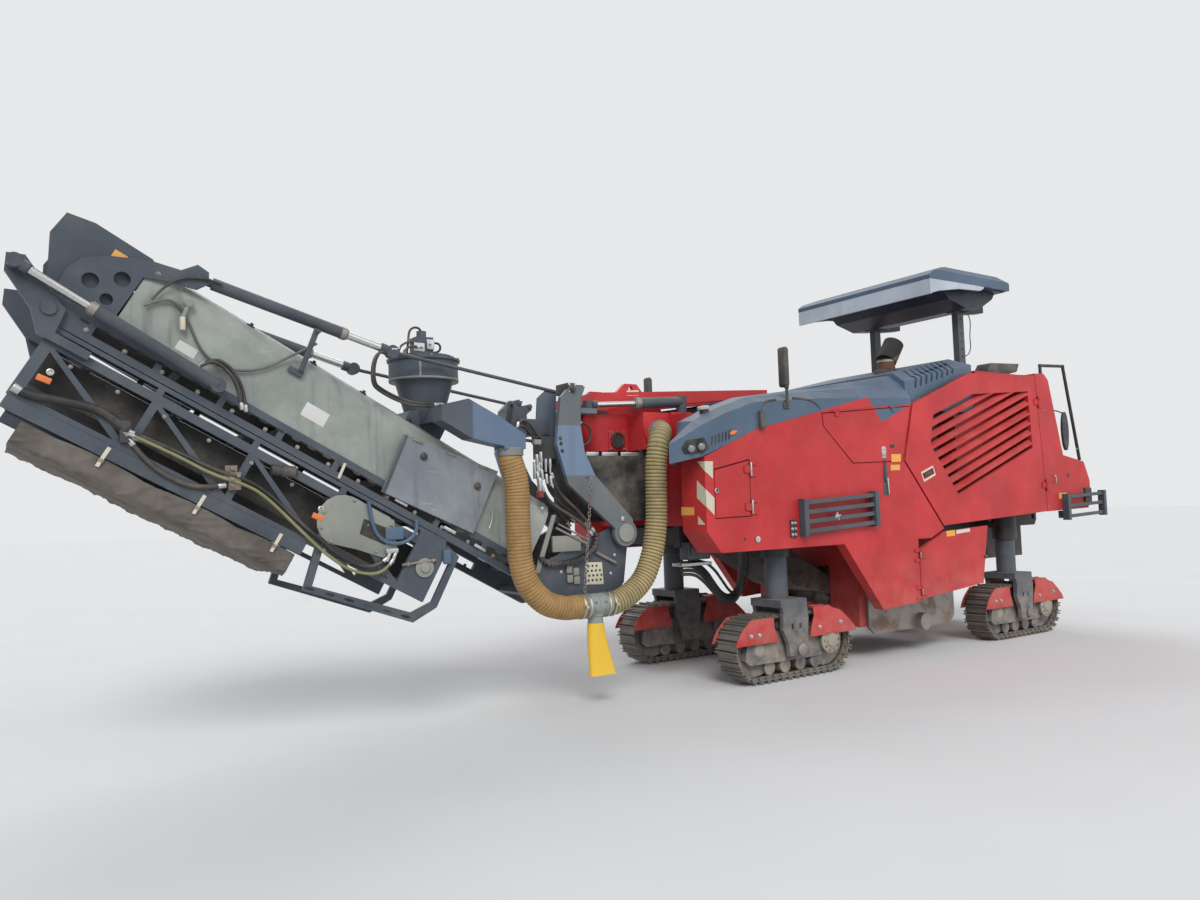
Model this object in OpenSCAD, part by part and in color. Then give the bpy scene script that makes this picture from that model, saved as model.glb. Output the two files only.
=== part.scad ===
// Cold planer milling machine on four steered crawler tracks, with a folding
// front discharge conveyor. X runs along the machine with the conveyor towards -X,
// the left side is -Y and the tracks stand on Z = 0. All sizes are in millimetres.

/* [Tracks] */
// Distance from the front to the rear track pins
wheelbase = 3350; // [3250:10:3450]
// Distance between the middles of the left and right tracks
track_gauge = 1390; // [1370:10:1420]
// Length of a track loop over its shoes
track_length = 1370; // [1330:10:1390]
// Height of a track loop over its shoes
track_height = 550; // [530:5:560]
// Width of the track shoes
shoe_width = 260; // [240:5:270]
// Number of shoes on one loop
shoe_count = 40; // [36:1:44]
// Height of a shoe's rib over its plate
shoe_rib = 22; // [14:1:26]
// Outer diameter of a lifting column's inner tube
column_d = 190; // [170:5:200]

/* [Body] */
// Width of the machine over its side panels
body_width = 1900; // [1880:10:1960]
// Thickness of doors and hatches
door_thick = 45; // [35:1:50]
// Gap round doors and hatches
door_gap = 8; // [6:1:10]
// Thickness of the hatches and the tool door
hatch_thick = 30; // [25:1:40]
// Number of louvre blades in a side door
louvre_count = 9; // [7:1:10]
// Height of the operator's floor above the ground
floor_height = 1700; // [1650:10:1760]

/* [Milling] */
// Diameter of the drum's tube
drum_tube_d = 640; // [600:10:660]
// Length of the drum's tube
drum_length = 1200; // [1160:10:1220]
// Height of a cutting tool over the tube
tool_height = 120; // [100:5:130]
// Height of the drum's axis above the ground when raised
drum_axis_z = 650; // [640:5:670]

/* [Canopy] */
// Width of the canopy
canopy_width = 1740; // [1600:10:1800]
// Length of the canopy
canopy_length = 1350; // [1250:10:1400]
// Height of the canopy's lower edge above the ground
canopy_height = 3460; // [3420:10:3500]

/* [Discharge conveyor] */
// Angle of the conveyor above level
conveyor_incline = 29.2; // [27:0.1:31]
// Distance from the luffing pins to the fold pins along the conveyor
main_length = 4047; // [3950:10:4100]
// Length of the folding section from its pins to its head
tip_length = 2850; // [2750:10:2880]
// Width of the conveyor over its frame
conveyor_width = 880; // [860:10:900]
// Width of the belt
belt_width = 600; // [560:10:640]
// Height of the hood over the frame
hood_height = 540; // [500:10:560]

/* [Suction hose] */
// Outer diameter of the ribbed suction hose
hose_d = 180; // [170:5:190]

/* [Hidden] */
$fn = 48;

red = [0.75, 0.2, 0.18];
slate = [0.36, 0.42, 0.5];
steel = [0.45, 0.47, 0.5];
pale = [0.62, 0.64, 0.6];
black = [0.09, 0.09, 0.1];
earth = [0.33, 0.29, 0.25];

// Clearance between pieces that lie on each other
seat = 0.3;
half_body = body_width / 2;
half_conv = conveyor_width / 2;

// Draws a profile given as [x, z] points, from y0 to y1
module prism(y0, y1, points) {
    rotate([90, 0, 0]) translate([0, 0, -y1]) linear_extrude(y1 - y0) polygon(points);
}

// Draws a child profile given in [x, z], from y0 to y1
module across(y0, y1) {
    rotate([90, 0, 0]) translate([0, 0, -y1]) linear_extrude(y1 - y0) children();
}

// Draws a child profile given in [y, z], from x0 to x1
module along(x0, x1) {
    translate([x0, 0, 0]) rotate([90, 0, 90]) linear_extrude(x1 - x0) children();
}

// A box from its lowest to its highest corner
module block(low, high) {
    translate(low) cube(high - low);
}

// A round bar between two points
module rod(a, b, d) {
    v = b - a;
    len = norm(v);
    translate(a) rotate([0, acos(v.z / len), atan2(v.y, v.x)]) cylinder(d = d, h = len);
}

// A round pin or boss across the machine
module cross_pin(x, z, y0, y1, d) {
    translate([x, y1, z]) rotate([90, 0, 0]) cylinder(d = d, h = y1 - y0);
}

// A solid through sections that hold the same number of points
module loft(sections) {
    n = len(sections[0]);
    m = len(sections);
    points = [for (s = sections) for (p = s) p];
    polyhedron(points, concat(
        [[for (i = [0:n - 1]) i]],
        [for (k = [0:m - 2], i = [0:n - 1]) [k * n + i, (k + 1) * n + i, k * n + (i + 1) % n]],
        [for (k = [0:m - 2], i = [0:n - 1]) [(k + 1) * n + i, (k + 1) * n + (i + 1) % n, k * n + (i + 1) % n]],
        [[for (i = [n - 1:-1:0]) (m - 1) * n + i]]
    ));
}

// A tube swept along a path, with its first and last ring square to the end stretches
tube_sides = 12;
function ring_axis(path, i) = let(
        a = i == 0 ? path[1] - path[0] : path[i] - path[i - 1],
        b = i == len(path) - 1 ? a : path[i + 1] - path[i])
    a / norm(a) + b / norm(b);
module tube(path, d) {
    loft([for (i = [0:len(path) - 1]) let(
            t = ring_axis(path, i) / norm(ring_axis(path, i)),
            u0 = cross([0.05, 1, 0.02], t),
            u = u0 / norm(u0),
            v = cross(t, u))
        [for (k = [0:tube_sides - 1]) path[i] + d / 2 * (cos(k * 360 / tube_sides) * u + sin(k * 360 / tube_sides) * v)]]);
}

module both_sides() {
    children();
    mirror([0, 1, 0]) children();
}

// Lengthways places
leg_offset = -80;
front_leg_x = leg_offset;
rear_leg_x = wheelbase + leg_offset;
leg_y = track_gauge / 2;
body_front = -1040;
panel_split = 1380;
rear_panel_x = wheelbase + 290;
body_rear = rear_panel_x + 920;
mast_pivot_x = -1400;

// Luffing pins, fold pins and the conveyor's own frame
luff_x = -1490;
luff_z = 1270;
fold_v = -652;

// The whole machine is moved so that its middle stands over the origin
fold_eye_u = 256;
fold_eye_v = 125;
fold_eye_r = 70;
rail_rear = body_rear + 200;
reach_front = luff_x - main_length * cos(conveyor_incline) + fold_v * sin(conveyor_incline)
    - fold_eye_u * cos(conveyor_incline) + fold_eye_v * sin(conveyor_incline) - fold_eye_r;
mid_x = (reach_front + rail_rear) / 2;

module place() {
    translate([-mid_x, 0, 0]) children();
}

// Chassis: two long girders with cross beams, brackets for the sleeves and the rear tank
girder_y = 430;
girder_w = 70;
girder_top = 1300;
body_inner = 660;
sleeve_d = 240;
sleeve_low = 1010;
sleeve_top = 1690;
tow_plate_y = 410;
module chassis_frame() {
    color(black) {
        both_sides() {
            block([-900, girder_y - girder_w, 1120], [4200, girder_y, girder_top]);
            difference() {
                prism(tow_plate_y - 20, tow_plate_y + 20, [[4200, 1120], [4300, 1120], [4340, 1180], [4340, 1260], [4290, 1300], [4200, 1300]]);
                cross_pin(4272, 1215, tow_plate_y - 30, tow_plate_y + 30, 60);
            }
            // Brackets out to the sleeves
            for (x = [front_leg_x, rear_leg_x], z = [1130, 1480]) difference() {
                block([x - 110, girder_y, z], [x + 110, leg_y, z + 60]);
                translate([x, leg_y, z - 1]) cylinder(d = sleeve_d + 2 * seat, h = 70);
            }
            for (x = [front_leg_x, rear_leg_x])
                block([x - 110, girder_y, 1190], [x - 80, leg_y - sleeve_d / 2 - 5, 1480]);
        }
        for (x = [-900, 600, 2480, 3480])
            block([x, -girder_y + girder_w, 1140], [x + 80, girder_y - girder_w, 1280]);
        // Tank under the rear
        block([3500, -330, 780], [4180, 330, 1141]);
    }
}

// Sleeves of the four lifting columns
module leg_sleeves() {
    color(black) for (x = [front_leg_x, rear_leg_x]) both_sides()
        translate([x, leg_y, sleeve_low]) difference() {
            cylinder(d = sleeve_d, h = sleeve_top - sleeve_low);
            translate([0, 0, -1]) cylinder(d = column_d + 0.16, h = sleeve_top - sleeve_low - 30);
        }
}

// Front console with the slewing bore, lifting lugs and hose flange
console_top = 2235;
slew_seat_z = 2240;
console_low = 1930;
slew_bore_d = 140;
port_y = 420;
port = [-1090, -port_y, 2066];
port_depth = 25;
module front_console() {
    color(red) difference() {
        union() {
            // Nose round the slewing pin
            translate([mast_pivot_x, 0, console_low]) cylinder(r = 190, h = console_top - console_low);
            block([mast_pivot_x, -190, console_low], [-1200, 190, console_top]);
            block([-1215, -port_y, console_low], [-950, port_y, console_top]);
            // Back wall that stands on the girders
            difference() {
                block([-950, -body_inner + 5, 1301], [-901, body_inner - 5, 2215]);
                block([-960, -290, 1300], [-890, 290, 1925]);
            }
            // Top beams that rise towards the rear
            both_sides() prism(220, 300, [[-1620, 2310], [-1600, 2390], [300, 2500], [300, 2440], [-900, 2310]]);
            prism(-221, 221, [[-1620, 2310], [-1600, 2390], [-1500, 2396], [-1500, 2310]]);
            block([-1120, -300, console_top - 1], [-940, 300, 2330]);
            block([-700, -221, 2360], [-600, 221, 2420]);
            block([200, -221, 2445], [299, 221, 2490]);
            // Lifting lugs
            both_sides() prism(240, 280, [[-1400, 2380], [-1290, 2480], [-1170, 2480], [-1100, 2400]]);
            // Bracket of the slewing cylinder
            block([-950, -450, 2205], [-740, -290, slew_seat_z]);
        }
        translate([mast_pivot_x, 0, console_low - 1]) cylinder(d = slew_bore_d + 0.16, h = 340);
        both_sides() cross_pin(-1230, 2440, 200, 320, 44);
    }
    // Flange of the suction hose
    color(pale) translate(port) rotate([90, 0, 0]) difference() {
        cylinder(d = 260, h = port_depth);
        translate([0, 0, 5]) cylinder(d = hose_d - 20, h = port_depth);
    }
}

// Rubber curtain round the transfer point
curtain_r = 370;
curtain_low = 1360;
curtain_h = 520;
curtain_back = 250;
module rubber_curtain() {
    color(black) translate([mast_pivot_x, 0, curtain_low]) difference() {
        union() {
            cylinder(r = curtain_r, h = curtain_h);
            block([0, -curtain_r, 0], [curtain_back, curtain_r, curtain_h]);
            // Strips that hang it under the console
            both_sides() block([185, curtain_r - 26, curtain_h - 1], [curtain_back, curtain_r, console_low - seat - curtain_low]);
        }
        translate([0, 0, -1]) cylinder(r = curtain_r - 25, h = curtain_h + 2);
        block([0, -curtain_r + 25, -1], [curtain_r + 1, curtain_r - 25, curtain_h + 60]);
    }
}

// One half of a hinge on the left side: a knuckle on the hinge's line and its plate on a panel.
// The plate reaches forward where reach is negative.
hinge_d = 14;
hinge_out = 12;
knuckle = 60;
function louvre_axis(z) = rear_panel_x + 54 - (z - 1275) * 0.0685;
module leaf(x0, z0, x1, z1, reach) {
    m = (x0 + x1) / 2;
    rod([x0, -half_body - hinge_out, z0], [x1, -half_body - hinge_out, z1], hinge_d);
    block([min(m, m + reach), -half_body - 10, z0 + 1], [max(m, m + reach), -half_body - 4, z1 - 1]);
    block([reach < 0 ? m + reach : m + 25, -half_body - 5, z0 + 1], [reach < 0 ? m - 25 : m + reach, -half_body + 1, z1 - 1]);
}
// The door's knuckle stands between two of the body's
leaf_end = knuckle / 2 + 31;
module door_leaf(x_at_low, x_at_high, z, reach) {
    leaf(x_at_low, z - knuckle / 2, x_at_high, z + knuckle / 2, reach);
}
module body_leaves(x_at_low, x_at_high, z, reach) {
    slant = (x_at_high - x_at_low) / (2 * leaf_end);
    leaf(x_at_low, z - leaf_end, x_at_low + 30 * slant, z - leaf_end + 30, reach);
    leaf(x_at_high - 30 * slant, z + leaf_end - 30, x_at_high, z + leaf_end, reach);
}
tool_axis_x = -566;
tool_hinges = [1440, 1740];
lower_axis_x = 1508;
lower_hinges = [600, 940];
louvre_hinges = [1560, 2440];
hatch_hinges = [480, 1240];
hatch_out = 8;
hatch_hinge_d = 12;
module hatch_bar(x0, x1) {
    rod([x0, -half_body - hatch_out, hood_line(x0) - 12], [x1, -half_body - hatch_out, hood_line(x1) - 12], hatch_hinge_d);
}
module hatch_plate(y0, y1, x0, x1, low, high) {
    prism(y0, y1, [[x0, hood_line(x0) - low], [x1, hood_line(x1) - low], [x1, hood_line(x1) - high], [x0, hood_line(x0) - high]]);
}

// Side bodies with the tanks, and the skirts beside the drum
skirt_y = 850;
body_low = 1090;
module front_body() {
    color(red) both_sides() difference() {
        union() {
            prism(body_inner, half_body, [[body_front, 1260], [-900, body_low], [1900, body_low], [1900, 1165],
                [panel_split - 20, 1800], [panel_split - 20, 1830], [1499, 2339], [275, 2233],
                [-475, 2067], [-790, 1940], [body_front, 1838]]);
            prism(skirt_y, half_body, [[500, body_low + 1], [970, 490], [1500, 520], [1500, body_low + 1]]);
            block([1499, skirt_y, 540], [1530, half_body - door_thick - seat, 985]);
        }
        // Recesses of the hatch and the tool door
        prism(half_body - hatch_thick - seat, half_body + 1, hatch_outline(0));
        prism(half_body - hatch_thick - seat, half_body + 1, tool_outline(0));
        prism(half_body - door_thick - seat, half_body + 1, [[1501, 900], [1501, 1012], [1905, 1176], [1915, 900]]);
        // Well of the front column
        block([front_leg_x - 170, body_inner - 1, 1000], [front_leg_x + 170, leg_y + 170, 1720]);
    }
    color(red) {
        both_sides() {
            for (x = hatch_hinges) for (x0 = [x - knuckle / 2 - 31, x + knuckle / 2 + 1]) {
                hatch_bar(x0, x0 + 30);
                hatch_plate(-half_body - hatch_out, -half_body + 1, x0, x0 + 30, 13, 1);
            }
            for (z = lower_hinges) body_leaves(lower_axis_x, lower_axis_x, z, -70);
        }
        for (z = tool_hinges) body_leaves(tool_axis_x, tool_axis_x, z, 60);
    }
}

function hood_line(x) = 2233 + (x - 275) * 107 / 1235;
function hatch_outline(gap) = [
    [285 + gap * 1.5, hood_line(285) - 14 - gap], [300 + gap * 1.5, hood_line(300) - 130], [655 + gap, 1785 + gap], [1345 - gap, 1805 + gap],
    [1470 - gap, hood_line(1475) - 110], [1480 - gap, hood_line(1480) - 14 - gap]
];
function tool_outline(gap) = [
    [-950 + gap, 1355 + gap], [-570 - gap, 1362 + gap], [-570 - gap, 1822 - gap * 1.6], [-950 + gap, 1745 - gap * 1.6]
];
function lower_outline(gap) = [
    [1502 + gap, 530 + gap], [2480 - gap, 610 + gap], [2600 - gap, 1180 - gap], [1900, 1150 - gap],
    [1502 + gap, 990 - gap]
];
function louvre_outline(gap) = [
    [1365 + gap, 1815], [1900, 1190 + gap], [rear_panel_x + 50 - gap, 1275 + gap],
    [rear_panel_x - 50 - gap, 2735 - gap], [2400, 2690 - gap], [1520 + gap, 2355 - gap]
];

// Nose hoods on both sides and the deck behind them
function hood_section(x, low, side, top, x_in) = [
    [x, half_body, low], [x, half_body, side], [x + (x_in - x) * 0.35, half_body - 110, (side + top) / 2 + 20],
    [x + (x_in - x) * 0.8, half_body - 240, top], [x_in, body_inner, top], [x_in, body_inner, low]
];
module top_hood() {
    color(slate) both_sides() {
        loft([
            hood_section(-1385, 1780, 1925, 1960, -1078),
            hood_section(-1060, 1838.3, 2080, 2130, -1060),
            hood_section(-790, 1940.3, 2190, 2250, -790),
            hood_section(-475, 2067.3, 2285, 2350, -475),
            hood_section(275, 2233.3, 2345, 2450, 275),
            hood_section(1500, 2339.5, 2400, 2640, 1500)
        ]);
        prism(302, body_inner - seat, [[-470, 2250], [-470, 2340], [275, 2449], [1500, 2639], [1500, 2560]]);
    }
}

// Cowl with the two rows of vents, over the full width behind the deck
cowl_low = 2300;
cowl_y = half_body - 60;
cowl_rise = atan((2850 - 2660) / (2385 - 1500));
exhaust = [1875, -400];
module cowl_shape(wall) {
    difference() {
        prism(-cowl_y + wall, cowl_y - wall, [[1500 + seat + wall, cowl_low - 2 * wall], [1500 + seat + wall, 2660 - wall],
            [2385, 2850 - wall], [2560 - seat - wall, 2780 - wall], [2560 - seat - wall, cowl_low - 2 * wall]]);
        both_sides() translate([1500, cowl_y, 2560 - wall]) rotate([0, -cowl_rise, 0]) rotate([-36, 0, 0]) translate([-300, -600, 0])
            cube([1700, 900, 400]);
    }
}
module vent_cowl() {
    color(slate) difference() {
        cowl_shape(0);
        cowl_shape(30);
        translate([exhaust.x, exhaust.y, 2300]) cylinder(d = 181, h = 600);
        // Two rows of vents
        for (i = [0:7]) both_sides() {
            translate([1640 + i * 84, half_body - 210, 2450 + i * 24]) rotate([0, 14, 0]) block([-15, 0, 60], [15, 200, 180]);
            translate([1640 + i * 84, half_body - 190, 2560 + i * 20]) rotate([0, 14, 0]) block([-15, -60, 60], [15, 100, 200]);
        }
    }
}

engine_top = 2250;
module engine_block() {
    color(steel) block([1560, -500, girder_top + 1], [2500, 500, engine_top]);
}

// Rear body: bulkhead, side walls beside the platform and the tank wings behind the doors
wall_y = half_body - 330;
way_in_x = rear_panel_x + 410;
bulkhead_x = 2560;
module rear_body() {
    color(red) {
        both_sides() {
            difference() {
                prism(wall_y, half_body, [[rear_panel_x + 50, 1280], [body_rear - 60, 1300], [body_rear, 1430],
                    [body_rear, 1600], [body_rear - 100, 1810], [way_in_x, 1880], [rear_panel_x + 200, 2690], [rear_panel_x + 120, 2755],
                    [rear_panel_x - 50, 2745]]);
                // Way in from behind
                block([way_in_x + 10, wall_y - 1, 1760], [body_rear + 1, half_body - 60, 1900]);
            }
            for (z = louvre_hinges) body_leaves(louvre_axis(z - leaf_end), louvre_axis(z + leaf_end), z, 60);
            difference() {
                block([bulkhead_x + 10, wall_y, girder_top + 11], [rear_panel_x - 40, wall_y + 40, 2735]);
                block([rear_leg_x - 130, wall_y - 1, girder_top], [rear_leg_x + 130, wall_y + 41, sleeve_top + 9]);
            }
            block([bulkhead_x + 50, wall_y + 30, 2690], [rear_panel_x - 60, half_body - door_thick - 10, 2728]);
            // Floor of the bay behind the door
            difference() {
                block([1905, girder_y, girder_top + 1], [rear_panel_x + 70, half_body - door_thick - seat, girder_top + 31]);
                block([rear_leg_x - 130, girder_y - 1, 1290], [rear_leg_x + 130, leg_y + 130, 1340]);
                block([1900, girder_y - 1, 1290], [bulkhead_x + 1, 501, 1340]);
            }
        }
        // Bulkhead ahead of the platform
        block([bulkhead_x, -wall_y - 9, girder_top + 1], [bulkhead_x + 40, wall_y + 9, 2700]);
        // Rear wall under the way in
        block([body_rear - 120, -wall_y - 9, girder_top + 15], [body_rear - 70, wall_y + 9, floor_height - 1]);
    }
}

module operator_platform() {
    color(black) {
        block([bulkhead_x + 41, -wall_y + 1, floor_height], [body_rear - 60, wall_y - 1, floor_height + 40]);
        both_sides() {
            // Seats
            block([3160, 200, floor_height + 39], [3360, 400, floor_height + 420]);
            block([3060, 130, floor_height + 420], [3500, wall_y - 60, floor_height + 520]);
            block([3500, 130, floor_height + 470], [3590, wall_y - 60, floor_height + 950]);
        }
        // Console across the front
        prism(-wall_y + 1, wall_y - 1, [[bulkhead_x + 41, 2350], [bulkhead_x + 41, 2690], [2680, 2720], [2860, 2560], [2840, 2500]]);
    }
}

// Canopy: shell arched along and across, with a pale visor under its front edge
canopy_x = 2000;
canopy_wall = 40;
canopy_rim = 150;
half_canopy = canopy_width / 2;
function canopy_side(inset) = let(l = canopy_length) [
    [inset, canopy_rim - inset / 2], [inset, 190 - inset / 2], [60 + inset, 232 - inset], [0.19 * l + inset / 2, 300 - inset],
    [0.45 * l, 365 - inset], [0.7 * l, 390 - inset], [0.875 * l - inset / 2, 352 - inset], [l - inset, 240 - inset / 2],
    [l - inset, 165 - inset / 2], [l / 2, 160 - inset / 2]];
function canopy_arch(inset) = let(w = half_canopy - inset) [
    [-w, 100], [-w, 250 - inset / 2], [-w + 70, 318 - inset], [-0.5 * w, 372 - inset], [0, 392 - inset],
    [0.5 * w, 372 - inset], [w - 70, 318 - inset], [w, 250 - inset / 2], [w, 100]];
module canopy() {
    color(slate) translate([canopy_x, 0, canopy_height]) difference() {
        intersection() {
            across(-half_canopy, half_canopy) polygon(canopy_side(0));
            along(-1, canopy_length + 1) polygon(canopy_arch(0));
        }
        intersection() {
            across(-half_canopy, half_canopy) polygon(canopy_side(canopy_wall));
            along(-1, canopy_length + 1) polygon(canopy_arch(canopy_wall));
        }
    }
}
module canopy_visor() {
    color(pale) translate([canopy_x, 0, canopy_height]) {
        block([2, -half_canopy + 2, 0], [26, half_canopy - 2, canopy_rim - seat]);
        both_sides() prism(half_canopy - 26, half_canopy - 2, [[2, 0], [150, 42], [480, 95], [830, 112], [890, 140],
            [900, 160 - seat], [canopy_length / 2, 160 - seat], [3, canopy_rim - seat]]);
    }
}

post_x = 2900;
post_y = wall_y - 80;
module canopy_frame() {
    color(steel) {
        both_sides() {
            block([post_x - 50, post_y - 35, 2736], [post_x + 50, post_y + 35, canopy_height + 40]);
            prism(post_y - 45, post_y + 45, [[post_x - 120, 3400], [post_x - 120, 3470], [3300, 3520], [3300, 3440], [post_x + 100, 3400]]);
            block([post_x - 60, wall_y - 60, 2600], [post_x + 60, wall_y - 1, 2735]);
            block([post_x - 60, post_y - 35, 2600], [post_x + 60, wall_y - 59, 2737]);
        }
        // Dark lining under the shell
        translate([canopy_x, 0, canopy_height]) {
            prism(-half_canopy + 130, half_canopy - 130, [[300, 170], [480, 20], [760, -50], [1010, -30], [1230, 90], [1290, 170]]);
            block([canopy_wall + seat, -half_canopy + canopy_wall + seat, 152], [canopy_length - canopy_wall - seat, half_canopy - canopy_wall - seat, 164]);
        }
    }
}

module exhaust_pipe() {
    color(black) translate([exhaust.x, exhaust.y, engine_top + seat]) {
        cylinder(d = 170, h = 620);
        translate([0, 0, 600]) rotate([0, 35, 0]) cylinder(d = 200, h = 230);
    }
}

module mirrors() {
    color(black) both_sides() {
        block([-150, half_body - 60, 2420], [-110, half_body + 35, 2760]);
        rod([-130, half_body + 14, 2250], [-130, half_body + 14, 2430], 26);
        block([-165, half_body + seat, 2240], [-95, half_body + 12, 2290]);
    }
}

rail_y = half_body - 50;
rail_corners = [[rear_panel_x + 150, rail_y, 2850], [rear_panel_x + 600, rail_y, 2870]];
module handrails() {
    color(black) both_sides() {
        rod([rail_corners[0].x, rail_y, 2756], rail_corners[0], 34);
        rod(rail_corners[0], rail_corners[1], 34);
        rod(rail_corners[1], [body_rear - 90, rail_y, 1830], 34);
        for (corner = rail_corners) translate(corner) sphere(d = 40);
    }
}

// Folding steps on the side and behind
step_out = 70;
module step_frame(x0, x1, z0, rise, rails) {
    for (z = rails) prism(half_body + 25, half_body + 55, [[x0, z0 + z], [x1, z0 + z + rise], [x1, z0 + z + rise + 34], [x0, z0 + z + 34]]);
    for (x = [x0, x1 - 50]) let(lift = x == x0 ? 0 : rise)
        block([x, half_body + seat, z0 + rails[0] + lift - 20], [x + 50, half_body + step_out, z0 + rails[len(rails) - 1] + lift + 50]);
}
module step_rails() {
    color(steel) both_sides() {
        step_frame(-40, 900, 1180, 50, [20, 100, 180, 260]);
        step_frame(rear_panel_x + 330, rail_rear, 1180, 30, [20, 130, 230]);
        block([rear_panel_x + 350, half_body - 60, 1200], [rear_panel_x + 390, half_body + 1, 1279]);
    }
}

// Drum housing open below, with its front opening to the primary conveyor
housing_y = 638;
housing_wall = 26;
module drum_housing() {
    color(red) difference() {
        block([1010, -housing_y, 300], [2420, housing_y, 1119]);
        block([1036, -housing_y + housing_wall, 290], [2380, housing_y - housing_wall, 1105]);
        block([1000, -300, 290], [1040, 300, 850]);
    }
}

// Primary conveyor from the drum up to the transfer point
module primary_conveyor() {
    color(black) prism(-280, 280, [[1009, 600], [1009, 760], [-1000, 1860], [-1160, 1870], [-1160, 1700], [-700, 1420], [600, 690]]);
}

// Side plates that ride on the road beside the drum, each with its roller
plate_y = housing_y + seat;
roller_x = 1840;
module side_plates() {
    color(steel) both_sides() {
        prism(plate_y, plate_y + 30, [[1100, 300], [1180, 225], [2300, 225], [2380, 300], [2380, 900], [1100, 900]]);
        cross_pin(roller_x, 285, plate_y + 29, plate_y + 100, 160);
    }
}

// Cylinder that slews the mast, with its eye over the mast's lug
slew_eye = [-1740, -400, 2275];
slew_base = [-800, -400, 2335];
module slew_cylinder() {
    color(steel) {
        rod(slew_eye, slew_base, 45);
        rod(slew_eye + 0.5 * (slew_base - slew_eye), slew_base, 90);
        translate(slew_eye - [0, 0, 30]) cylinder(d = 80, h = 60);
        translate([slew_base.x, slew_base.y, slew_seat_z + seat]) cylinder(d = 90, h = 140);
    }
}

// Doors
grille_rise = 19.5;
grille = [[1824, 2250], [2460, 2476], [3440, 2548], [3470, 1950], [2150, 1488], [1760, 1964]];
module louvre_door() {
    color(red) {
        difference() {
            prism(-half_body, -half_body + door_thick, louvre_outline(door_gap));
            prism(-half_body - 1, -half_body + door_thick + 1, grille);
            // Recessed handle
            prism(-half_body - 1, -half_body + 14, [[1610, 1690], [1770, 1745], [1790, 1690], [1630, 1635]]);
        }
        intersection() {
            prism(-half_body, -half_body + door_thick, grille);
            for (i = [0:louvre_count]) translate([1760, 0, 1310 + i * 105 * 9 / louvre_count])
                rotate([0, -grille_rise, 0]) translate([0, -half_body + door_thick / 2, 0]) rotate([40, 0, 0])
                    block([-200, -50, -6], [2000, 50, 6]);
        }
        for (z = louvre_hinges) door_leaf(louvre_axis(z - knuckle / 2), louvre_axis(z + knuckle / 2), z, -70);
    }
}
module louvre_door_left() {
    louvre_door();
}
module louvre_door_right() {
    mirror([0, 1, 0]) louvre_door();
}
module side_door(outline, thick) {
    color(red) prism(-half_body, -half_body + thick, outline);
}
module hatch() {
    side_door(hatch_outline(door_gap), hatch_thick);
    color(red) for (x = hatch_hinges) {
        hatch_bar(x - knuckle / 2, x + knuckle / 2);
        hatch_plate(-half_body - hatch_out, -half_body - 2, x - knuckle / 2 + 4, x + knuckle / 2 - 4, 9, 56);
        hatch_plate(-half_body - 5, -half_body + 3, x - knuckle / 2 + 8, x + knuckle / 2 - 8, 30, 50);
    }
}
module lower_door() {
    side_door(lower_outline(door_gap), door_thick);
    color(red) for (z = lower_hinges) door_leaf(lower_axis_x, lower_axis_x, z, 80);
}
module hatch_left() {
    hatch();
}
module hatch_right() {
    mirror([0, 1, 0]) hatch();
}
module lower_door_left() {
    lower_door();
}
module lower_door_right() {
    mirror([0, 1, 0]) lower_door();
}
module tool_door() {
    side_door(tool_outline(door_gap), hatch_thick);
    color(red) for (z = tool_hinges) door_leaf(tool_axis_x, tool_axis_x, z, -70);
}

// Milling drum: tube with flighted rows of tools that lead the material to the middle
drum_x = 1700;
tool_rows = 10;
tools_per_row = 5;
module milling_drum() {
    color(steel) translate([drum_x, 0, drum_axis_z]) {
        cross_pin(0, 0, -drum_length / 2, drum_length / 2, drum_tube_d);
        cross_pin(0, 0, -housing_y + housing_wall + seat, housing_y - housing_wall - seat, 200);
        for (row = [0:tool_rows - 1], k = [0:tools_per_row - 1]) {
            y = (row + 0.5) / tool_rows * drum_length / 2;
            for (s = [-1, 1]) translate([0, s * (drum_length / 2 - 20 - y * 0.94), 0])
                rotate([0, k * 360 / tools_per_row + row * 17 * 1.0, 0]) {
                    block([drum_tube_d / 2 - 12, -17, -45], [drum_tube_d / 2 + 55, 17, 15]);
                    translate([drum_tube_d / 2 + 30, 0, -10]) rotate([0, 60, 0]) cylinder(d = 24, h = (tool_height - 30) / cos(30), $fn = 6);
                }
        }
    }
}

// Track loop with its shoes in its outline
roll_r = track_height / 2 - shoe_rib - 30;
module track_outline(grow) {
    for (x = [-1, 1]) translate([x * (track_length / 2 - track_height / 2), track_height / 2]) circle(r = roll_r + grow);
    translate([-(track_length / 2 - track_height / 2), track_height / 2 - roll_r - grow])
        square([track_length - track_height, 2 * (roll_r + grow)]);
}
module track_belt(x, y) {
    straight = track_length - track_height;
    loop = 2 * straight + PI * (track_height - 2 * shoe_rib);
    r = track_height / 2;
    color(earth) translate([x, 0, 0]) across(y - shoe_width / 2, y + shoe_width / 2) difference() {
        union() {
            track_outline(30);
            for (i = [0:shoe_count - 1]) {
                s = i * loop / shoe_count;
                arc = PI * (r - shoe_rib);
                if (s < straight) translate([-straight / 2 + s, 0]) square([34, 40]);
                else if (s < straight + arc) translate([straight / 2, r]) rotate((s - straight) / arc * 180 - 90)
                    translate([r - 40, -17]) square([40, 34]);
                else if (s < 2 * straight + arc) translate([straight / 2 - (s - straight - arc), track_height - 40]) square([34, 40]);
                else translate([-straight / 2, r]) rotate((s - 2 * straight - arc) / arc * 180 + 90)
                    translate([r - 40, -17]) square([40, 34]);
            }
        }
        track_outline(0);
    }
}
module track_belt_fl() {
    track_belt(0, -leg_y);
}
module track_belt_fr() {
    track_belt(0, leg_y);
}
module track_belt_rl() {
    track_belt(wheelbase, -leg_y);
}
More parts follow.
